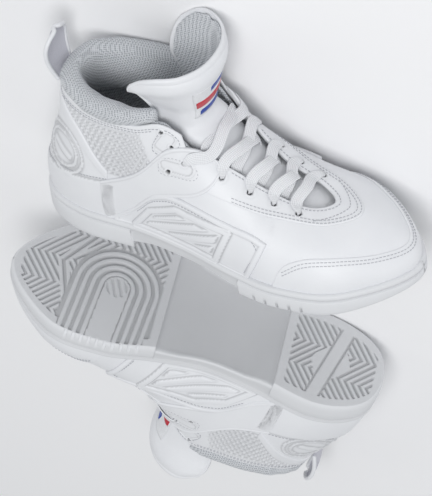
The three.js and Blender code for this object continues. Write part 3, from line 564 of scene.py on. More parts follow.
def outline_distance(x, z, corners):
    """Distance in mm from a polygon's edges in x and z."""
    nearest = np.full(x.shape, 1e9)
    for (x0, z0), (x1, z1) in zip(corners, corners[1:] + corners[:1]):
        length = np.hypot(x1 - x0, z1 - z0)
        t = np.clip(((x - x0) * (x1 - x0) + (z - z0) * (z1 - z0)) / length**2, 0, 1)
        nearest = np.minimum(nearest, np.hypot(x - x0 - t * (x1 - x0), z - z0 - t * (z1 - z0)))
    return nearest


def inside_outline(x, z, corners):
    """True inside a convex or concave polygon, by counting the edges crossed to the right."""
    crossed = np.zeros(x.shape, bool)
    for (x0, z0), (x1, z1) in zip(corners, corners[1:] + corners[:1]):
        between = (z0 > z) != (z1 > z)
        crossed ^= between & (x < (x1 - x0) * (z - z0) / (z1 - z0 + 1e-9) + x0)
    return crossed


def saddle_relief(u, v, bare, d):
    """Border welt near the edge, a frame line round the outline, and bars inside the frame."""
    x, z = bare[..., 0], bare[..., 2]
    height = 1.1 * rounded(d, 1.6) * (1 - eased(2.8, 4.6, d))
    frame_d = outline_distance(x, z, FRAME_CORNERS)
    within = inside_outline(x, z, FRAME_CORNERS)
    height = height + 1.5 * (1 - eased(1.5, 2.7, frame_d))
    inner = within * eased(4.6, 5.8, frame_d)
    for start in BAR_STARTS:
        rise = z - start - BAR_SLOPE * (x - 118)
        height = height + 1.5 * inner * (1 - eased(2.0, 3.2, np.abs(rise)))
    return height, 0 * d


for side in ("lateral", "medial"):
    leather_panel(f"saddle_{side}_leather", f"saddle_{side}", SADDLE_LOW, SADDLE_HIGH, (200, 96), 0.8, 1.3,
                  side, 1.2, saddle_relief)
STITCHES["saddle"] = [[[3.0, 0.19], [3.33, 0.335], [3.7, 0.4], [4.4, 0.435], [5.2, 0.47], [5.6, 0.478],
                       [5.68, 0.42], [5.45, 0.2], [5.3, 0.06]]]

# ---- Mudguard and lace stay ------------------------------------------------------------------
# Leather overlays on the vamp: the mudguard round the toe with a double row of stitches, and the
# lace stay round the throat with punched eyelets and double rows along its lower edge.
MUDGUARD_HIGH = [[5.9, 0.05], [6.1, 0.3], [6.45, 0.45], [7, 0.49], [7.5, 0.42], [8, 0.36]]
STAY_LOW = [[4.55, 0.66], [5.2, 0.71], [5.9, 0.77], [6.6, 0.82], [7.3, 0.815], [8, 0.8]]
STAY_HIGH = [[4.75, 0.985], [5.2, 1], [5.9, 1], [6.7, 1], [7.4, 1], [8, 1]]
EYELETS = [[6.65, 0.91], [6.12, 0.91], [5.6, 0.9], [5.02, 0.88]]
TOP_EYELET = [4.3, 0.79]


def stay_relief(u, v, bare, d):
    """Four punched eyelets on each side."""
    height, shade = 0 * d, 0 * d
    for hole_u, hole_v in EYELETS:
        for at in (hole_u, ROUND - hole_u):
            more, dark = lace_hole(bare, at, hole_v, 1.9, 2.0, 0.3)
            height, shade = height + more, np.maximum(shade, dark)
    return height, shade


leather_panel("mudguard_leather", "mudguard",
              both_sides([[5.9, -0.02], [6.1, -0.02], [6.45, -0.02], [7, -0.02], [7.5, -0.02], [8, -0.02]]),
              both_sides(MUDGUARD_HIGH), (150, 38), 0.9, 1.1, radius=1.1)
leather_panel("eyestay_leather", "eyestay", both_sides(STAY_LOW), both_sides(STAY_HIGH), (230, 34), 0.9, 1.1,
              radius=0.9, detail=stay_relief)
STITCHES["mudguard"] = [[[u, v - 0.045] for u, v in both_sides(MUDGUARD_HIGH)[1:-1]],
                        [[u, v - 0.085] for u, v in both_sides(MUDGUARD_HIGH)[1:-1]]]
STITCHES["stay"] = [[[u, v + 0.02] for u, v in both_sides(STAY_LOW)[1:-1]],
                    [[u, v + 0.05] for u, v in both_sides(STAY_LOW)[1:-1]],
                    [[u, 0.965] for u, v in both_sides(STAY_LOW)[1:-1]],
                    [[6.9, 0.86], [7.3, 0.885], [7.7, 0.9], [8, 0.9], [8.3, 0.9], [8.7, 0.885], [9.1, 0.86]]]

# ---- Ankle wraps and heel strips -------------------------------------------------------------
# The smooth wrap that climbs from the arch to the top eyelet, with a piped edge and a stitched
# inset round its two holes, and the raised strips that slant down from the pull tab.
WRAP_LOW = [[2.42, -0.02], [2.8, 0.1], [3.1, 0.27], [3.4, 0.38], [3.8, 0.445], [4.2, 0.51], [4.6, 0.63],
            [4.87, 0.78], [5.03, 0.93]]
WRAP_HIGH = [[2.38, 0.4], [2.9, 0.53], [3.33, 0.66], [3.8, 0.79], [4.2, 0.885], [4.45, 0.945], [4.65, 0.985],
             [4.95, 0.995]]
INSET_MIDDLE = (4.12, 0.72)
INSET_SIZE = (22, 8.5)
STRIP_LOW = [[0.42, 0.87], [1.2, 0.79], [1.95, 0.63], [2.5, 0.42]]
STRIP_HIGH = [[0.42, 0.985], [1.2, 0.9], [1.95, 0.74], [2.5, 0.5]]


def wrap_relief(u, v, bare, d):
    """A piped edge, and an elongated sunken inset with the eyelet and a spare hole."""
    height = 0.6 * rounded(d, 1.2) * (1 - eased(1.6, 3.0, d))
    a, b = local_mm(bare, *INSET_MIDDLE, turn=0.28)
    box = rounded_box(a, b, *INSET_SIZE, 4)
    height = height - 0.35 * (1 - eased(-0.6, 0.3, box)) + ridge(box - 0.4, 1.4, 0.25)
    shade = 0 * d
    for hole_u, hole_v in (TOP_EYELET, (3.92, 0.66)):
        more, dark = lace_hole(bare, hole_u, hole_v, 1.6, 1.8, 0.2)
        height, shade = height + more, np.maximum(shade, dark)
    return height, shade


def strip_relief(u, v, bare, d):
    """A crowned strip, highest along its middle."""
    return 0.7 * rounded(d, 3.5), 0 * d


for side in ("lateral", "medial"):
    leather_panel(f"ankle_wrap_{side}_leather", f"ankle_wrap_{side}", WRAP_LOW, WRAP_HIGH, (160, 72),
                  1.1, 1.2, side, 1.1, wrap_relief, seamless=True)
    leather_panel(f"heel_strip_{side}_leather", f"heel_strip_{side}", STRIP_LOW, STRIP_HIGH, (90, 24),
                  0.9, 0.9, side, 1.2, strip_relief)


def loop_on_skin(u, v, turn, width, height):
    """A closed oblong round the place (u, v), turned by an angle, as (u, v) points. Its mm are
    turned into steps of u and v by the skin's slopes there."""
    around = np.linspace(0, 2 * np.pi, 41)
    a = width / 2 * np.sign(np.cos(around)) * np.abs(np.cos(around))**0.6
    b = height / 2 * np.sign(np.sin(around)) * np.abs(np.sin(around))**0.8
    a, b = a * np.cos(turn) - b * np.sin(turn), a * np.sin(turn) + b * np.cos(turn)
    per_u = (skin(u + 0.02, v) - skin(u - 0.02, v)) / 0.04
    per_v = (skin(u, v + 0.02) - skin(u, v - 0.02)) / 0.04
    along = unit(per_u)
    up = unit(per_v - along * (along @ per_v))
    dv = b / (per_v @ up)
    du = (a - dv * (per_v @ along)) / (per_u @ along)
    return np.stack([u + du, v + dv], 1).tolist()


STITCHES["inset"] = [loop_on_skin(*INSET_MIDDLE, 0.28, INSET_SIZE[0] + 4.5, INSET_SIZE[1] + 4.5)]
STITCHES["patch"] = [loop_on_skin(*PATCH_MIDDLE, -0.35, PATCH_SIZE[0] + 4, PATCH_SIZE[1] + 4)]

# ---- Sewing thread ---------------------------------------------------------------------------
# Lockstitch thread in every seam: short rounded stitches laid end to end along each row.
STITCH_PITCH = 2.5
STITCH = (1.9, 0.55, 0.42)       # length, width and height over the leather
STITCH_LIFT = {"counter": 1.3, "topline": 1.35, "saddle": 2.15, "mudguard": 2.05, "stay": 2.05, "inset": 2.05,
               "patch": 1.35}
# The thread's grey is partly its own tone and partly painted shade for the stitch holes it sits in.
thread = leather_finish("sewing_thread", (0.46, 0.47, 0.50), (0.54, 0.55, 0.58), 0.6, 0.1, 3000)


def run_along(points):
    """Length run along a line of points, at each of them."""
    return np.concatenate([[0], np.cumsum(np.linalg.norm(np.diff(points, axis=0), axis=1))])


def between(where, run, points):
    """Points at places of a run along a line of points, straight between them."""
    return np.stack([np.interp(where, run, points[:, k]) for k in range(points.shape[1])], 1)


def sewn(rows, lift, side):
    """Stitches along rows of (u, v) paths, as small boxes with bevelled tops, in equal steps of
    the row's real length. Each stitch points along the row and stands on the leather."""
    points, faces = [], []
    for row in rows:
        fine = spline(row, np.linspace(0, 1, 400))
        at = upper(across_shoe(fine[:, 0], side), fine[:, 1], np.full(len(fine), lift))
        top = upper(across_shoe(fine[:, 0], side), fine[:, 1], np.full(len(fine), lift + 1))
        run = run_along(at)
        count = int(run[-1] / STITCH_PITCH)
        where = (np.arange(count) + 0.5) * run[-1] / count
        centre = between(where, run, at)
        along = unit(between(where + 0.3, run, at) - between(where - 0.3, run, at))
        rise = between(where, run, top) - centre
        rise = unit(rise - along * (along * rise).sum(1, keepdims=True))
        over = np.cross(rise, along)
        for x, y, z in ((-1, -1, 0), (1, -1, 0), (1, 1, 0), (-1, 1, 0),
                        (-0.6, -0.55, 1), (0.6, -0.55, 1), (0.6, 0.55, 1), (-0.6, 0.55, 1)):
            points.append(centre + along * x * STITCH[0] / 2 + over * y * STITCH[1] / 2
                          + rise * (z * STITCH[2] - 0.15 * (1 - z)))
        block = np.array([[3, 2, 1, 0], [4, 5, 6, 7], [0, 1, 5, 4], [1, 2, 6, 5], [2, 3, 7, 6], [3, 0, 4, 7]])
        start = sum(len(p) for p in points[:-8])
        faces.append((start + block[None] * count + np.arange(count)[:, None, None]).reshape(-1, 4))
    return np.concatenate(points), np.concatenate(faces)


BOTH_SIDED = ("counter", "mudguard", "stay")
for seam, rows in STITCHES.items():
    for side in ("lateral",) if seam in BOTH_SIDED else ("lateral", "medial"):
        points, faces = sewn(rows, STITCH_LIFT[seam], side)
        piece(f"{seam}_{side}_stitches", points, faces, thread, [])

# ---- Midsole ---------------------------------------------------------------------------------
# The moulded rubber cup that the upper is cemented into. Its wall carries a round bead at the
# top and stands over a deep, smooth arch between the two tread pods.
WALL_OUT = 5                     # of the outline that the sole's rows run between
OUTLINE_STEPS = 1601
CUP_STEPS = (230, 30)
POD_SLANT = 0.076                # x per y of the lines across the sole
HEEL_POD_END = 75
FRONT_POD_START = 159
OUTSOLE = 5
ARCH_LIFT = 3.5
ARCH_EASE = 22
# The wall from the top down: reach and height over the foot line, then reach and share of height.
BEAD = [(1.9, 1.0), (3.2, 1.1), (4.3, 0.6), (5.0, -0.6), (5.1, -1.8), (4.8, -2.9), (4.0, -3.6), (3.8, -4.2)]
FACE = [(3.9, 0.55), (4.0, 0.3), (3.9, 0.12), (3.5, 0.03), (2.8, 0.0)]

rubber = leather_finish("white_rubber", (0.70, 0.71, 0.73), (0.76, 0.77, 0.79), 0.55, 0.12, 2600)


def ground(x):
    """Height of the tread over the floor of a standing shoe: toe spring and a rounded heel."""
    return 9 * np.clip((x - 205) / 67, 0, None)**2 + 2 * np.clip((14 - x) / 20, 0, None)**2


def outline(u, out):
    """The foot line moved outwards in plan by a distance: x and y at each u."""
    along = unit(skin(u + 0.01, 0)[..., :2] - skin(u - 0.01, 0)[..., :2])
    at = skin(u, 0)[..., :2]
    return at + np.stack([along[..., 1], -along[..., 0]], -1) * np.asarray(out, float)[..., None]


def slanted(xy):
    """Which of the slanted lines across the sole a point is on."""
    return xy[..., 0] + POD_SLANT * xy[..., 1]


def rungs(lines):
    """Where each slanted line meets the lateral and the medial outline, as u on both sides."""
    found = []
    for start in (0, ROUND):
        u = np.linspace(start, ROUND / 2, OUTLINE_STEPS)
        found.append(np.interp(lines, np.maximum.accumulate(slanted(outline(u, WALL_OUT))), u))
    return found


def arch(x):
    """1 over the arch and 0 over the pods, with a smooth step at each end."""
    return eased(HEEL_POD_END, HEEL_POD_END + ARCH_EASE, x) \
        * (1 - eased(FRONT_POD_START - ARCH_EASE, FRONT_POD_START, x))


def wall_columns(u, profile, height):
    """A wall's points at each u from a profile of reaches, with heights worked out by height."""
    at = outline(u[:, None], np.array([p[0] for p in profile], float))
    return np.concatenate([at, height(u, at[..., 0])[..., None]], -1)


outline_lines = slanted(outline(np.linspace(0, ROUND, OUTLINE_STEPS), WALL_OUT))
back_line, toe_line = outline_lines.min(), outline_lines.max()
rung = back_line + (toe_line - back_line) * crowded_ends(CUP_STEPS[0]) * 0.999998 + 1e-4
rung_lateral, rung_medial = rungs(rung)


def midsole_wall(u, x):
    """Heights down the wall: the bead below the foot line, then shares of the way to the bottom."""
    rim = skin(u, 0)[:, 2:3]
    low = ground(x[:, -1:]) + OUTSOLE + 0.4 + ARCH_LIFT * arch(x[:, -1:])
    bead = rim + np.array([p[1] for p in BEAD])
    face = low + (rim + BEAD[-1][1] - low) * np.array([p[1] for p in FACE])
    return np.concatenate([bead, face], 1)


lateral_wall = wall_columns(rung_lateral, BEAD + FACE, midsole_wall)
medial_wall = wall_columns(rung_medial, BEAD + FACE, midsole_wall)
chord = np.linspace(0, 1, CUP_STEPS[1] + 1)[1:-1, None]
under = lateral_wall[:, -1][:, None] * (1 - chord) + medial_wall[:, -1][:, None] * chord
hollow = 4 * chord[None] * (1 - chord[None]) * arch(under[..., :1])
under[..., 2:] += 2.2 * np.sqrt(np.clip(hollow, 0, 1)) * (hollow > 0)
cup = np.concatenate([lateral_wall, under, medial_wall[:, ::-1]], 1)
rows, cols = cup.shape[:2]
lid = [i * cols for i in range(rows)] + [(i + 1) * cols - 1 for i in range(rows)][::-1]
# Painted shade on the midsole: under the bead on both walls, and darker still over the arch's underside,
# which faces away from the light.
cup_shade = np.zeros(cup.shape[:2])
cup_shade[:, len(BEAD) - 3:len(BEAD) + 2] = 0.1
cup_shade[:, -len(BEAD) - 2:3 - len(BEAD)] = 0.1
cup_shade[:, len(BEAD + FACE):-len(BEAD + FACE)] = 0.2
ends = [list(range(cols)), [(rows - 1) * cols + j for j in range(cols)][::-1]]
piece("midsole_cup", cup.reshape(-1, 3), grid_faces(rows, cols).tolist() + [lid] + ends, rubber,
      ["midsole"], shade=cup_shade)

# ---- Tread pods ------------------------------------------------------------------------------
# Two moulded rubber pods, heel and forefoot. Each wraps up the side to just under the bead and
# has zigzag ribs inside a plain border; the forefoot has a U-shaped pivot and flex notches.
POD_WALL = [(3.6, 1.0), (4.8, 0.97), (5.2, 0.9), (5.3, 0.6),
            (5.3, 0.32), (4.9, 0.14), (4.2, 0.05), (3.5, 0.0)]  # reach, share of height
POD_TOP = 4.6                    # below the foot line
TREAD = 1.6                      # depth of the grooves
TREAD_STEPS = 190
RIB_PITCH = 5.2
PIVOT = (196, 4)
PIVOT_STEP = 5.6
PIVOT_REACH = 32
NOTCH_SPACING = 8.4
NOTCH = (2.2, 2.6, 1.6)          # length along the shoe, height, and depth into the wall
NOTCH_SHARES = np.array([0, 0, 0, 0, 0.35, 1, 1, 1])    # of each, down the pod's wall


def ribs(across):
    """Flat-topped ribs: 0 on a rib and 1 in the groove, from a phase in pitches."""
    return eased(0.42, 0.7, 2 * np.abs(across - np.round(across)))


def zigzag(y, middle, half):
    """Shift along the shoe of a rib that runs across it in straight legs, turning every two
    halves: a triangle wave with a slope of 0.85."""
    leg = np.mod(y - middle + half, 4 * half)
    return 0.85 * (half - np.abs(leg - 2 * half))


def forefoot_tread(x, y, edge):
    """Groove depth as a share: zigzag ribs, a bent groove behind the toe, and the pivot's rings."""
    depth = ribs((x - zigzag(y, -18, 11)) / RIB_PITCH)
    bend = x - 238 + 0.5 * np.abs(y + 4) - 0.1 * y
    depth = np.where(np.abs(bend) < 4.2, 0, depth)
    depth = np.maximum(depth, 1 - eased(0.5, 1.1, np.abs(np.abs(bend) - 0.4)))
    away = np.hypot(x - PIVOT[0], np.minimum(y - PIVOT[1], 0))
    depth = np.where(away < PIVOT_REACH, ribs(away / PIVOT_STEP) * (away > 9), depth)
    depth = np.maximum(depth, 1 - eased(0.4, 1.0, np.abs(away - PIVOT_REACH)))
    emblem = np.abs(x - PIVOT[0] + 0.5 * (y - PIVOT[1]))
    depth = np.where(np.hypot(x - PIVOT[0], y - PIVOT[1]) < 7.5, 0.5 * ribs(emblem / 5), depth)
    legs = (y > PIVOT[1]) & (away < PIVOT_REACH - 2)
    return depth * np.where(legs, eased(0.5, 1.5, edge), eased(5.5, 6.8, edge))


def heel_tread(x, y, edge):
    """Groove depth as a share: two zigzag blocks and a plain oblique band between them."""
    depth = ribs((x - zigzag(y, 0, 10)) / RIB_PITCH)
    band = x - 40 - 0.2 * y
    plain = 5.5 + 8 * (1 - eased(0, 16, np.abs(y)))
    depth = np.where(np.abs(band) < plain, 0, depth)
    depth = np.maximum(depth, 1 - eased(0.4, 0.9, np.abs(np.abs(band) - 5)))
    return depth * eased(5.5, 6.8, edge)


def tread_pod(name, lines, tread, end, notches):
    """A pod from its slanted lines: walls down both sides, the tread between them, a flat end
    where it meets the arch, and a lid inside the midsole."""
    u_lateral, u_medial = rungs(lines)
    share = np.array([p[1] for p in POD_WALL])

    def pod_height(u, x):
        low = ground(x)
        return low + (skin(u, 0)[:, 2:3] - POD_TOP - low) * share

    sides = [wall_columns(u, POD_WALL, pod_height) for u in (u_lateral, u_medial)]
    front = end < lines.mean()
    width = np.linalg.norm(sides[0][:, -1] - sides[1][:, -1], axis=1)
    chord = np.linspace(0, 1, TREAD_STEPS + 1)[1:-1]
    sole = sides[0][:, -1][:, None] * (1 - chord[:, None]) + sides[1][:, -1][:, None] * chord[:, None]
    end_edge = np.minimum(np.abs(lines - end), np.abs(lines - (toe_line if front else back_line)))
    edge = np.minimum(np.minimum(chord, 1 - chord) * width[:, None], end_edge[:, None])
    groove = tread(sole[..., 0], sole[..., 1], edge)
    count = len(POD_WALL)
    sole[..., 2] = ground(sole[..., 0]) + TREAD * groove
    for side, wall in zip(("lateral", "medial"), sides):
        for line in notches[side]:
            deep = (np.abs(lines - line) < NOTCH[0] / 2)[:, None] * NOTCH_SHARES
            wall[..., 2] += NOTCH[1] * deep
            wall[..., 1] -= np.sign(wall[..., 1]) * NOTCH[2] * deep
    body = np.concatenate([sides[0], sole, sides[1][:, ::-1]], 1)
    close = body[0 if front else -1].copy()
    close[:, 2] = np.interp(np.arange(len(close)), [0, len(close) - 1], close[[0, -1], 2])
    body = np.concatenate([close[None], body] if front else [body, close[None]])
    rows, cols = body.shape[:2]
    far = list(range((rows - 1) * cols, rows * cols))
    near = list(range(cols))
    lid = [i * cols for i in range(rows)] + ([] if front else far[1:-1])
    lid += [(i + 1) * cols - 1 for i in range(rows)][::-1] + (near[1:-1][::-1] if front else [])
    faces = grid_faces(rows, cols).tolist() + [lid, far[::-1] if front else near]
    # Painted shade on the tread: the whole underside a little darker, as it faces away from the light, and
    # the grooves darker still.
    shade = np.zeros((rows, cols))
    inner = shade[1:, count:-count] if front else shade[:-1, count:-count]
    inner[:] = 0.1 + 0.22 * groove
    piece(f"{name}_tread", body.reshape(-1, 3), faces, rubber, [name], shade=shade)


front_notches = [FRONT_POD_START + 12 + NOTCH_SPACING * k for k in range(5)]
pivot_notches = [PIVOT[0] + 0.5 + PIVOT_STEP * (k + 0.5) for k in range(-5, 5)]
front_lines = FRONT_POD_START + (toe_line - FRONT_POD_START) * np.sin(np.pi / 2 * np.linspace(0, 1, 250))
front_lines = np.unique(np.concatenate([front_lines, *[[n - 1.2, n - 1.0, n + 1.0, n + 1.2]
                                                      for n in front_notches + pivot_notches]]))
tread_pod("outsole_forefoot", np.minimum(front_lines, toe_line - 1e-4), forefoot_tread, FRONT_POD_START,
          {"lateral": front_notches, "medial": pivot_notches})
heel_lines = back_line + (HEEL_POD_END - back_line) * (1 - np.cos(np.pi / 2 * np.linspace(0, 1, 190)))
tread_pod("outsole_heel", np.maximum(heel_lines, back_line + 1e-4), heel_tread, HEEL_POD_END,
          {"lateral": [], "medial": []})

# ---- Lining ----------------------------------------------------------------------------------
# A sleeve of spacer mesh on thin foam that lines the whole upper. The same cloth faces the
# collar roll and the back of the tongue.
LINING_OUT = -1.4
LINING_IN = -3.4
LINING_FOOT = 0.04
LINING_STEPS = (160, 40)
LINING_TOP = [[0, 1], [4, 1], [4.4, 0.94], [4.8, 0.84], [5.6, 0.82], [7.2, 0.84], [7.6, 0.97], [8, 0.97]]

weave, weave_cells = shader_group("spacer_weave", "Cells Per Metre", 800, "Height", "Open")
weave_place = add_node(weave, "TexCoord", {})["Object"]
weave_turn = add_node(weave, "Mapping", {"Vector": weave_place, "Rotation": (0.62, 0.35, 0.79)})["Vector"]
weave_circles = add_node(weave, "Math", {0: weave_cells, 1: 2 * np.pi}, operation="MULTIPLY")["Value"]
weave_scale = add_node(weave, "VectorMath", {0: weave_turn, "Scale": weave_circles},
                       operation="SCALE")["Vector"]
weave_split = add_node(weave, "SeparateXYZ", {"Vector": weave_scale})
weave_waves = [add_node(weave, "Math", {0: weave_split[axis]}, operation="SINE")["Value"] for axis in "XYZ"]
weave_total = weave_waves[0]
for wave in weave_waves[1:]:
    weave_total = add_node(weave, "Math", {0: weave_total, 1: wave}, operation="ADD")["Value"]
# Open marks the lowest parts of the weave, where painted shade darkens the cloth.
weave_open = add_node(weave, "MapRange", {"Value": weave_total, "From Min": 0.2, "From Max": -1.6})["Result"]
set_sockets(weave, weave.nodes.new("NodeGroupOutput"), {"Height": weave_total, "Open": weave_open})


def mesh_finish(name, yarn, gap, cells, depth):
    """Woven cloth: yarn colour, with painted shade darkening the open cells towards the gap colour, and the
    weave as its bump.
    """
    made, tree, shader = new_finish(name)
    cloth = add_node(tree, "Group", {"Cells Per Metre": cells}, node_tree=weave)
    set_sockets(tree, shader, {"Base Color": mixed(tree, cloth["Open"], yarn, gap), "Roughness": 0.88,
                               "Sheen Weight": 0.25, "Normal": bumped(tree, cloth["Height"], 0.6, depth)})
    return made


grey_mesh = mesh_finish("grey_mesh", (0.68, 0.70, 0.73), (0.36, 0.38, 0.41), 760, 0.0002)
u_lining = np.linspace(0, ROUND, LINING_STEPS[0] + 1)[:-1, None]
top_lining = np.interp(np.minimum(u_lining, ROUND - u_lining), *np.array(LINING_TOP).T)
v_lining = LINING_FOOT + (top_lining - LINING_FOOT) * np.linspace(0, 1, LINING_STEPS[1] + 1)[None]
points, faces = closed_shell(upper(u_lining, v_lining, LINING_OUT), upper(u_lining, v_lining, LINING_IN),
                             ring=True)
piece("lining_sleeve", points, faces, grey_mesh, ["lining"])

# ---- Collar roll -----------------------------------------------------------------------------
# The foam-filled mesh roll round the ankle: thick over the topline and thin down inside. It is
# swept along the topline, then puffed up as stuffed cloth.
PAD = 8                          # thickness inside the ankle
CUFF = 13                        # height over the topline
PAD_END = 3.85                   # where it ends round the shoe, as u
PAD_STEPS = (121, 56)
SWELL_CAP = 3.0                  # how far the stuffing may move the cloth, in mm
CLOTH_FRAMES = 20
PRESSURE = 4.0


def pad_place(u, out, rise):
    """A point out from the topline and rise above it, or down along the skin where rise < 0."""
    edge = upper(u, 1, 0)
    side = upper(u, 1, 1) - edge
    side[2] = 0
    if rise >= 0:
        return edge + unit(side) * out + np.array([0, 0, rise])
    return upper(u, 1 + rise / 96, out)


def pad_section(u):
    """Closed section of the roll at u, from the leather edge over the top and down inside."""
    thin = 1 - 0.45 * eased(2.4, 3.6, abs(u))
    low = -34 if abs(u) < 3.4 else -24
    inside = LINING_IN - 0.8
    face = [(1.9, 1.4), (3.2, CUFF * 0.42), (1.2, CUFF * 0.83), (-4 * thin, CUFF * 0.97),
            (-(3.5 + PAD) * thin, CUFF * 0.75), (inside - PAD * thin, 0), (inside - PAD * thin, low * 0.5),
            (inside - 0.5 * PAD * thin, low * 0.9)]
    back = [(inside, low), (inside, low * 0.5), (inside, 0), (inside + 0.2, 2), (-2.6, 2.4), (-1, 2.4),
            (0.4, 1.6)]
    return np.array([pad_place(u, out, rise) for out, rise in face + back])


def puffed(name, points, faces, finish, nodes, cap, voxel=0.0045):
    """A stuffed cloth piece for both shoes: the right one is remeshed evenly and blown up as
    cloth with gravity off, no point moving further than cap; the left one is its mirror image."""
    solid = piece(name, points, faces, finish, nodes, body=None)
    right = solid[0]
    remesh = right.modifiers.new("remesh", "REMESH")
    remesh.mode = "VOXEL"
    remesh.voxel_size = voxel
    even = bpy.data.meshes.new_from_object(right.evaluated_get(bpy.context.evaluated_depsgraph_get()))
    right.modifiers.clear()
    right.data = even
    start = np.array([vertex.co for vertex in even.vertices])
    place = start
    cloth = right.modifiers.new("cloth", "CLOTH")
    cloth.settings.use_pressure = True
    cloth.settings.uniform_pressure_force = PRESSURE
    cloth.settings.effector_weights.gravity = 0
    cloth.settings.quality = 5
    for step in range(1, CLOTH_FRAMES + 1):
        bpy.context.scene.frame_set(step)
    blown = right.evaluated_get(bpy.context.evaluated_depsgraph_get()).data
    moved = np.array([vertex.co for vertex in blown.vertices]) - start
    right.modifiers.clear()
    bpy.context.scene.frame_set(1)
    length = np.linalg.norm(moved, axis=1, keepdims=True)
    place = start + moved * np.minimum(1, cap / 1000 / np.maximum(length, 1e-9))
    heel, basis = LAY["right"]
    plain = (place - heel) @ basis.T * 1000
    quads = [list(polygon.vertices) for polygon in even.polygons]
    for side, thing in zip(SIDES, solid):
        turned = quads if side == "right" else [quad[::-1] for quad in quads]
        thing.data = bpy.data.meshes.new(f"{side}_{name}_puffed")
        thing.data.from_pydata(laid(side, plain).tolist(), [], turned)
        thing.data.materials.append(finish)
        thing.data.shade_smooth()
        soften = thing.modifiers.new("soften", "SMOOTH")
        soften.iterations = 5
        smooth = thing.modifiers.new("smooth", "SUBSURF")
        smooth.levels = smooth.render_levels = 1
    return solid


pad_sections = []
for u in np.linspace(-PAD_END, PAD_END, PAD_STEPS[0]):
    loop = pad_section(u)
    loop = np.concatenate([loop[-2:], loop, loop[:3]])
    fine = spline(loop, np.linspace(0, 1, 400))
    half = len(fine) // 2
    first = np.argmin(np.linalg.norm(fine[:half] - loop[2], axis=1))
    last = half + np.argmin(np.linalg.norm(fine[half:] - loop[2], axis=1))
    pad_sections.append(fine[np.linspace(first, last, PAD_STEPS[1] + 1)[:-1].astype(int)])
pad = np.array(pad_sections)
rows, cols = pad.shape[:2]
ends = [list(range(cols)), [(rows - 1) * cols + j for j in range(cols)][::-1]]
faces = [[i * cols + j, (i + 1) * cols + j, (i + 1) * cols + (j + 1) % cols, i * cols + (j + 1) % cols]
         for i in range(rows - 1) for j in range(cols)] + ends
rolls = puffed("collar_roll", pad.reshape(-1, 3), faces, grey_mesh, ["collar_pad"], SWELL_CAP)
for side, roll in zip(SIDES, rolls):
    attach(roll, f"{side}_shoe")

# ---- Tongue ----------------------------------------------------------------------------------
# A padded tongue under the lace stay with a tall wrapping top: white leather outside with a
# stitched hem, grey mesh over foam inside. It bends where it leaves the collar.
HINGE_Z = 119
TONGUE_TOP = 162
LACE_ROOM = 3.4                  # between the lining and the tongue
TONGUE = 6                       # thickness over the foam
# Rows of the tongue: its edge under the stay as u and v, and the two points of a wing beside it.
TONGUE_ROWS = [
    [7.45, 0.93, [[7.3, 0.86], [7.1, 0.8]]],
    [7, 0.99, [[6.95, 0.9], [6.85, 0.82]]],
    [6.3, 0.99, [[6.3, 0.88], [6.3, 0.77]]],
    [5.6, 0.99, [[5.6, 0.86], [5.6, 0.74]]],
    [5, 0.99, [[4.95, 0.86], [4.85, 0.74]]],
    [4.55, 0.99, [[4.35, 0.92], [4.1, 0.84]]],
    [4.15, 0.99, [[3.85, 0.96], [3.45, 0.9]]],
]
# How far each row's middle is pushed out, and the flap's rows as half lines of x, y and the share
# of the height from the hinge to the top.
TONGUE_SWELL = [[1, 0, 2], [1, 0, 4], [1.5, 0, 5], [1.5, 0, 5], [2, 0, 4.5], [4, 0, 3], [8, 0, 1], [9, 0, 0]]
TONGUE_STEPS = (130, 90)
FLAP_ROWS = [
    [[137, 0, 0.45], [133, 16, 0.45], [121, 24.5, 0.42], [105, 26, 0.38], [92, 24, 0.32]],
    [[142, 0, 0.8], [138, 19, 0.82], [126, 32, 0.82], [108, 37, 0.78], [93, 35, 0.62]],
    [[141, 0, 1], [137, 19, 1], [125, 33, 1], [110, 38, 0.98], [99, 37, 0.88]],
]


def deep(u):
    """How far inside the skin the tongue lies at u."""
    return LINING_IN - LACE_ROOM - 4.6 * (1 - eased(4.05, 4.8, u))


def tongue_row(u, v, wing):
    """Nine points across the tongue: two under each side and a Bezier arch between them."""
    ends = []
    for w in (-1, 1):
        near = [upper(a if w < 0 else ROUND - a, b, deep(a)) for a, b in wing[::-1]]
        ends.append(near + [upper(u if w < 0 else ROUND - u, v, deep(u))])
    (a2, a1, a0), (b2, b1, b0) = ends
    reach = np.linalg.norm(a0 - b0) * 0.36
    a3 = a0 + unit(a0 - a1) * reach
    b3 = b0 + unit(b0 - b1) * reach
    arch_points = [(1 - t)**3 * a0 + 3 * t * (1 - t)**2 * a3 + 3 * t * t * (1 - t) * b3 + t**3 * b0
                   for t in np.linspace(0, 1, 5)]
    return np.array([a2, a1, *arch_points, b1, b2])


def tongue_surface(rows, cols):
    """The tongue's outer face as a smooth grid from its toe end to its top edge."""
    net = [tongue_row(*row) for row in TONGUE_ROWS]
    bend = net[-1].copy()
    bend[:, 2] = HINGE_Z
    net.append(bend)
    swell = np.sin(np.pi * np.linspace(0, 1, 9))[:, None]
    for line, push in zip(net, TONGUE_SWELL):
        line += swell * np.array(push, float)
    for row in FLAP_ROWS:
        half = np.array([[x, y, HINGE_Z + (TONGUE_TOP - HINGE_Z) * z] for x, y, z in row])
        line = np.concatenate([half[::-1] * (1, -1, 1), half[1:]])
        net.append(spline(line, np.linspace(0, 1, 9)))
    across = np.array([spline(line, crowded_ends(cols - 1)) for line in net])
    corner = np.clip((np.abs(np.linspace(-1, 1, cols)) - 0.72) / 0.28, 0, 1)
    grid = np.array([spline(across[:, j], crowded_ends(rows - 1) * (1 - 0.035 * corner[j]**2))
                     for j in range(cols)])
    return grid.transpose(1, 0, 2)


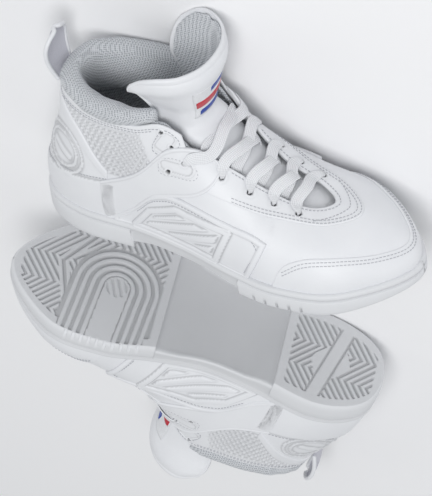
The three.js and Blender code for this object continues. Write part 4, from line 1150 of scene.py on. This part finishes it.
def grid_normals(grid):
    """Outward unit normals of a tongue grid: across the rows times up the columns."""
    normal = np.cross(np.gradient(grid, axis=1), np.gradient(grid, axis=0))
    return normal / np.maximum(np.linalg.norm(normal, axis=-1, keepdims=True), 1e-9)


tongue_grid = tongue_surface(*TONGUE_STEPS)
tongue_normal = grid_normals(tongue_grid)
tongue_edge = from_edge(tongue_grid)
tongue_thick = TONGUE * (0.75 + 0.25 * eased(HINGE_Z - 10, HINGE_Z + 8, tongue_grid[..., 2]))
hem = 1.2 * rounded(tongue_edge, 2.0) - 0.7 * np.exp(-((tongue_edge - 4.6) / 0.7)**2) \
    + 0.9 * eased(5, 16, tongue_edge) * eased(HINGE_Z, HINGE_Z + 10, tongue_grid[..., 2])
tongue_front = tongue_grid + tongue_normal * (hem - 1.2)[..., None]
tongue_back = tongue_grid - tongue_normal * 2.2
points, faces = closed_shell(tongue_front, tongue_back)
skins = piece("tongue_leather", points, faces, white_leather,
              ["tongue_lower", "tongue_flap"], body=None, shade=np.zeros(len(points)))

foam_grid = tongue_grid[1:-1, 1:-1]
foam_normal = tongue_normal[1:-1, 1:-1]
seam = 1.2 * np.exp(-((np.arange(foam_grid.shape[1]) - foam_grid.shape[1] // 2) / 1.6)**2)
foam_depth = (tongue_thick[1:-1, 1:-1] - seam) * (0.45 + 0.55 * rounded(from_edge(foam_grid), 7))
points, faces = closed_shell(foam_grid - foam_normal * 1.8, foam_grid - foam_normal * foam_depth[..., None])
foams = puffed("tongue_foam", points, faces, grey_mesh, ["tongue_lower", "tongue_flap"],
               1.5, 0.003)
for side, skin_piece, foam_piece in zip(SIDES, skins, foams):
    for thing in (skin_piece, foam_piece):
        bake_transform(thing)

# ---- Tongue mark -----------------------------------------------------------------------------
# A small printed badge on the front of the tongue's top: a plain blue block over a red and a
# blue bar, on thin white film.


def printed_film(name, colour):
    """Printed film: one colour with a faint mottle."""
    made, tree, shader = new_finish(name)
    place = add_node(tree, "TexCoord", {})["Object"]
    mottle = add_node(tree, "TexNoise", {"Vector": place, "Scale": 900})["Fac"]
    low, high = (tuple(min(1, c * share) for c in colour) for share in (0.85, 1.1))
    set_sockets(tree, shader, {"Base Color": mixed(tree, mottle, low, high), "Roughness": 0.35})
    return made


def badge(name, colour, rows, cols, lift):
    """A thin plate lying on the tongue over a range of its grid's rows and columns."""
    patch = tongue_front[rows[0]:rows[1], cols[0]:cols[1]]
    out = tongue_normal[rows[0]:rows[1], cols[0]:cols[1]]
    round_off = rounded(from_edge(patch), 0.6)[..., None]
    points, faces = closed_shell(patch + out * (lift * (0.5 + 0.5 * round_off)), patch + out * 0.02)
    piece(name, points, faces, printed_film(name, colour), ["tongue_mark"], "tongue_top")


MARK_HEIGHTS = (114, 116, 121, 123, 132, 134.5, 142, 144)
height_on_tongue = tongue_front[:, TONGUE_STEPS[1] // 2, 2]
mark_rows = [int(np.argmin(np.abs(height_on_tongue - z))) for z in MARK_HEIGHTS]
badge("mark_film", (0.8, 0.81, 0.83), (mark_rows[0], mark_rows[7]), (33, 58), 0.3)
badge("mark_low", (0.03, 0.07, 0.36), (mark_rows[1], mark_rows[2]), (36, 55), 0.6)
badge("mark_middle", (0.55, 0.03, 0.05), (mark_rows[3], mark_rows[4]), (34, 57), 0.6)
badge("mark_high", (0.03, 0.07, 0.36), (mark_rows[5], mark_rows[6]), (41, 50), 0.6)

# ---- Pull tab --------------------------------------------------------------------------------
# A leaf of stiff webbing sewn to the top of the heel, bowed outwards, with a round white
# binding along its edge.
TAB = (25, 36, 2.6)              # width, height and thickness
TAB_BOW = 4
TAB_STEPS = (60, 30)
TAB_EDGE_STEPS = 50
tab_root = upper(0, 0.97, LEATHER + 1)


def tab_place(t, w, out):
    """A point of the tab at share t of its height and w of its half width, out from its face."""
    half = TAB[0] / 2 * (0.72 + 0.28 * np.sin(np.pi * np.minimum(1, t * 1.5) / 2)) \
        * np.sqrt(np.maximum(0.06, 1 - np.maximum(0, (t - 0.6) / 0.4)**2.4))
    x = tab_root[0] - TAB_BOW * np.sin(np.pi * t) - out * TAB[2] - 2.5 * (1 - w * w) * t
    return np.stack([x, half * w, tab_root[2] + TAB[1] * t - 2 + 0 * w], -1)


web, web_tree, web_shader = new_finish("webbing")
web_place = add_node(web_tree, "UVMap", {})["UV"]
web_wave = add_node(web_tree, "TexWave", {"Vector": web_place, "Scale": 5, "Distortion": 0.4})["Fac"]
web_colour = mixed(web_tree, web_wave, (0.55, 0.55, 0.62), (0.74, 0.74, 0.79))
set_sockets(web_tree, web_shader, {"Base Color": web_colour, "Roughness": 0.75,
                                   "Normal": bumped(web_tree, web_wave, 0.5)})

tab_t = np.linspace(0, 1, TAB_STEPS[0] + 1)[:, None]
tab_w = np.linspace(-1, 1, TAB_STEPS[1] + 1)[None]
points, faces = closed_shell(tab_place(tab_t, tab_w, 0.85), tab_place(tab_t, tab_w, 0.15))
tab_uv = np.stack(np.broadcast_arrays(tab_w * 1.2, tab_t * 3.5), -1).reshape(-1, 2)
piece("pull_tab_web", points, faces, web, ["pull_tab"], "pull_tab",
      uv=np.concatenate([tab_uv, tab_uv]))


def tube_faces(rows, cols):
    """Faces of a tube of rows of points, each row a closed ring, with flat ends."""
    faces = [[i * cols + j, i * cols + (j + 1) % cols, (i + 1) * cols + (j + 1) % cols, (i + 1) * cols + j]
             for i in range(rows - 1) for j in range(cols)]
    return faces + [list(range(cols)), [(rows - 1) * cols + j for j in range(cols)][::-1]]


def tube(line, radius, sides=10):
    """A closed round tube along a line of points, with flat ends."""
    along = unit(np.gradient(line, axis=0))
    first = unit(np.cross(along, [1, 0.01, 0]))
    second = np.cross(along, first)
    turn = np.linspace(0, 2 * np.pi, sides + 1)[:-1]
    ring = first[:, None] * np.cos(turn)[None, :, None] + second[:, None] * np.sin(turn)[None, :, None]
    points = (line[:, None] + ring * radius).reshape(-1, 3)
    return points, tube_faces(len(line), sides)


rising = np.linspace(0, 1, TAB_EDGE_STEPS)
edge_line = np.concatenate([tab_place(rising, 0 * rising - 1, 0.5),
                            tab_place(0 * rising + 1, np.linspace(-1, 1, TAB_EDGE_STEPS), 0.5)[1:-1],
                            tab_place(rising[::-1], 0 * rising + 1, 0.5)])
edge_line = spline(edge_line[::3], np.linspace(0, 1, 130))
points, faces = tube(edge_line, 1.5)
piece("pull_tab_binding", points, faces, white_leather, ["pull_tab"], "pull_tab",
      shade=np.zeros(len(points)))

# ---- Lace ------------------------------------------------------------------------------------
# One flat woven lace. It bars over the lowest eyelets, then each half climbs in turn: down
# through an eyelet, out over the tongue and into the next one across, to ends tucked inside.
LACE = (8, 1.1)                  # width and thickness
FOLDED = (2.6, 1.5)              # the same, where the lace is folded up in an eyelet
LACE_STEPS = 900
STRAND_LIFT = (4.4, 7.4)         # of a strand's middle over its ends, lower and upper strand
EXIT_STEP = 0.27                 # u from an eyelet to where the strand leaves the throat's edge
LACE_EYELETS = EYELETS + [TOP_EYELET]
LACE_TAIL = [[4.2, 0.7], [4.1, 0.61]]
LANDINGS = [[], [[6.12, 0.98]], [[5.6, 0.98]], [[5.02, 0.965]], [[4.74, 0.97], [4.46, 0.87]]]


def lace_stop(place, side, out, flat):
    """A stop at a place on one side: point, direction across the leather edge, flatness."""
    u = place[0] if side < 0 else ROUND - place[0]
    return upper(u, place[1], out), upper(u, place[1], 1) - upper(u, place[1], 0), flat


def lace_half(side):
    """Stops of one half of the lace, from the lowest eyelet up to its tucked end."""
    stops = []
    for k, hole in enumerate(LACE_EYELETS):
        stops.append(lace_stop(hole, side, LEATHER / 2, 0))
        stops.append(lace_stop(hole, side, LINING_IN - 1.3, 0))
        if k == len(LACE_EYELETS) - 1:
            stops += [lace_stop(place, side, LINING_IN - 1.8, 1) for place in LACE_TAIL]
            return stops
        leave = hole[0] - EXIT_STEP
        landing = LANDINGS[k + 1]
        lift = STRAND_LIFT[0 if side < 0 else 1]
        stops.append(lace_stop([leave + 0.06, 0.965], side, LINING_IN - 1.3, 1))
        stops.append(lace_stop([leave, 1.02], side, -1.6, 1))
        start = stops[-1][0]
        over = lace_stop(landing[0], -side, LEATHER + 1.4, 1)[0]
        crown = (start + over) / 2 + np.array([0.5 * lift, 0, lift])
        rise = np.array([0.5, 0, 1]) / np.hypot(0.5, 1)
        stops.append((start + (crown - start) * 0.55 + rise * 2, rise, 1))
        stops.append((crown, rise, 1))
        side = -side
        stops += [lace_stop(place, side, LEATHER + 1.9, 1) for place in landing]
        stops.append(lace_stop(LACE_EYELETS[k + 1], side, LEATHER + 1.2, 0))
    return stops


lowest = LACE_EYELETS[0]
ends = [lace_stop(lowest, w, LEATHER + 1.2, 0) for w in (-1, 1)]
inner_stops = [lace_stop([lowest[0], 0.985], w, LEATHER + 1.4, 1) for w in (-1, 1)]
bar = ((inner_stops[0][0] + inner_stops[1][0]) / 2 + np.array([1, 0, 3]), np.array([0.3, 0, 1.0]), 1)
stops = lace_half(-1)[::-1] + [ends[0], inner_stops[0], bar, inner_stops[1], ends[1]] + lace_half(1)
stop_at = np.array([stop[0] for stop in stops])
stop_along = np.array([stop_at[min(i + 1, len(stops) - 1)] - stop_at[max(i - 1, 0)]
                       for i in range(len(stops))])
stop_far = unit(np.cross(stop_along, np.array([stop[1] for stop in stops])))
for i in range(1, len(stops)):
    if stop_far[i] @ stop_far[i - 1] < 0:
        stop_far[i] *= -1
chord_run = run_along(stop_at)
share = chord_run / chord_run[-1]
samples = np.linspace(0, 1, LACE_STEPS)
lace_line = spline(stop_at, samples)
lace_far = between(samples, share, stop_far)
lace_flat = np.interp(samples, share, np.array([stop[2] for stop in stops], float))[:, None]
lace_along = unit(np.gradient(lace_line, axis=0))
lace_far = unit(lace_far - lace_along * (lace_far * lace_along).sum(1, keepdims=True))
lace_up = np.cross(lace_far, lace_along)
lace_width = FOLDED[0] + (LACE[0] - FOLDED[0]) * eased(0, 1, lace_flat)
lace_thick = FOLDED[1] + (LACE[1] - FOLDED[1]) * eased(0, 1, lace_flat)
turn = np.linspace(0, 2 * np.pi, 25)[:-1]
section_x = np.sign(np.cos(turn)) * np.abs(np.cos(turn))**0.55 / 2
section_z = np.sign(np.sin(turn)) * np.abs(np.sin(turn))**0.7 / 2
lace_points = lace_line[:, None] + lace_far[:, None] * (lace_width * section_x)[..., None] \
    + lace_up[:, None] * (lace_thick * section_z)[..., None]
faces = tube_faces(*lace_points.shape[:2])
lace_length = run_along(lace_line)[-1]
lace_uv = np.stack(np.broadcast_arrays(section_x[None] + 0.5, (samples * lace_length / LACE[0])[:, None]), -1)

lace_cloth, lace_tree, lace_shader = new_finish("lace_weave")
lace_place = add_node(lace_tree, "UVMap", {})["UV"]
lace_split = add_node(lace_tree, "SeparateXYZ", {"Vector": lace_place})
lace_waves = []
for axis, count in (("X", 7), ("Y", 6)):
    spread = add_node(lace_tree, "Math", {0: lace_split[axis], 1: 2 * np.pi * count}, operation="MULTIPLY")
    lace_waves.append(add_node(lace_tree, "Math", {0: spread["Value"]}, operation="SINE")["Value"])
lace_height = add_node(lace_tree, "Math", {0: lace_waves[1], 1: 0.35, 2: lace_waves[0]},
                       operation="MULTIPLY_ADD")["Value"]
# Painted shade: the lace is darker where its weave is low.
lace_tone = add_node(lace_tree, "MapRange", {"Value": lace_height, "From Min": -1.35,
                                             "From Max": 1.0})["Result"]
lace_colour = mixed(lace_tree, lace_tone, (0.72, 0.73, 0.76), (0.92, 0.93, 0.95))
set_sockets(lace_tree, lace_shader, {"Base Color": lace_colour, "Roughness": 0.8,
                                     "Normal": bumped(lace_tree, lace_height, 0.6, 0.0002)})
piece("lace_ribbon", lace_points.reshape(-1, 3), faces, lace_cloth, ["lace"],
      uv=lace_uv.reshape(-1, 2))

# ---- Inner parts -----------------------------------------------------------------------------
# The parts inside the shoe keep their plain shapes and get their own finishes: the steel shank,
# fibre insole board, cloth-faced footbed, and the plastic toe puff and heel stiffener.


def speckled(name, low, high, scale, roughness, bump, metallic=0.0, stretch=(1, 1, 1)):
    """Two colours mixed by noise that can be stretched, with the same noise as a bump."""
    made, tree, shader = new_finish(name)
    place = add_node(tree, "TexCoord", {})["Object"]
    drawn = add_node(tree, "Mapping", {"Vector": place, "Scale": stretch})["Vector"]
    noise = add_node(tree, "TexNoise", {"Vector": drawn, "Scale": scale, "Detail": 6})["Fac"]
    set_sockets(tree, shader, {"Base Color": mixed(tree, noise, low, high), "Roughness": roughness,
                               "Metallic": metallic, "Normal": bumped(tree, noise, bump)})
    return made


brushed = speckled("brushed_shank", (0.42, 0.44, 0.46), (0.6, 0.62, 0.64), 300, 0.35, 0.1, 1.0, (0.05, 1, 1))
fibre = speckled("fibre_board", (0.42, 0.33, 0.21), (0.62, 0.52, 0.36), 700, 0.85, 0.4)
stiffener = speckled("stiffener_sheet", (0.66, 0.66, 0.63), (0.76, 0.76, 0.74), 400, 0.5, 0.15)
sock_cloth = mesh_finish("sock_cloth", (0.5, 0.53, 0.57), (0.2, 0.22, 0.25), 520, 0.0002)
INNER_PARTS = (("shank", brushed, "spring_steel"), ("insole_board", fibre, "insole_board"),
               ("footbed", sock_cloth, "sock_foam"), ("toe_puff", stiffener, "stiffener_plastic"),
               ("heel_stiffener", stiffener, "stiffener_plastic"))
for side in SIDES:
    for node, finish, slot in INNER_PARTS:
        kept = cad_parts[f"{side}_{node}"]
        kept.data.materials.clear()
        kept.data.materials.append(finish)
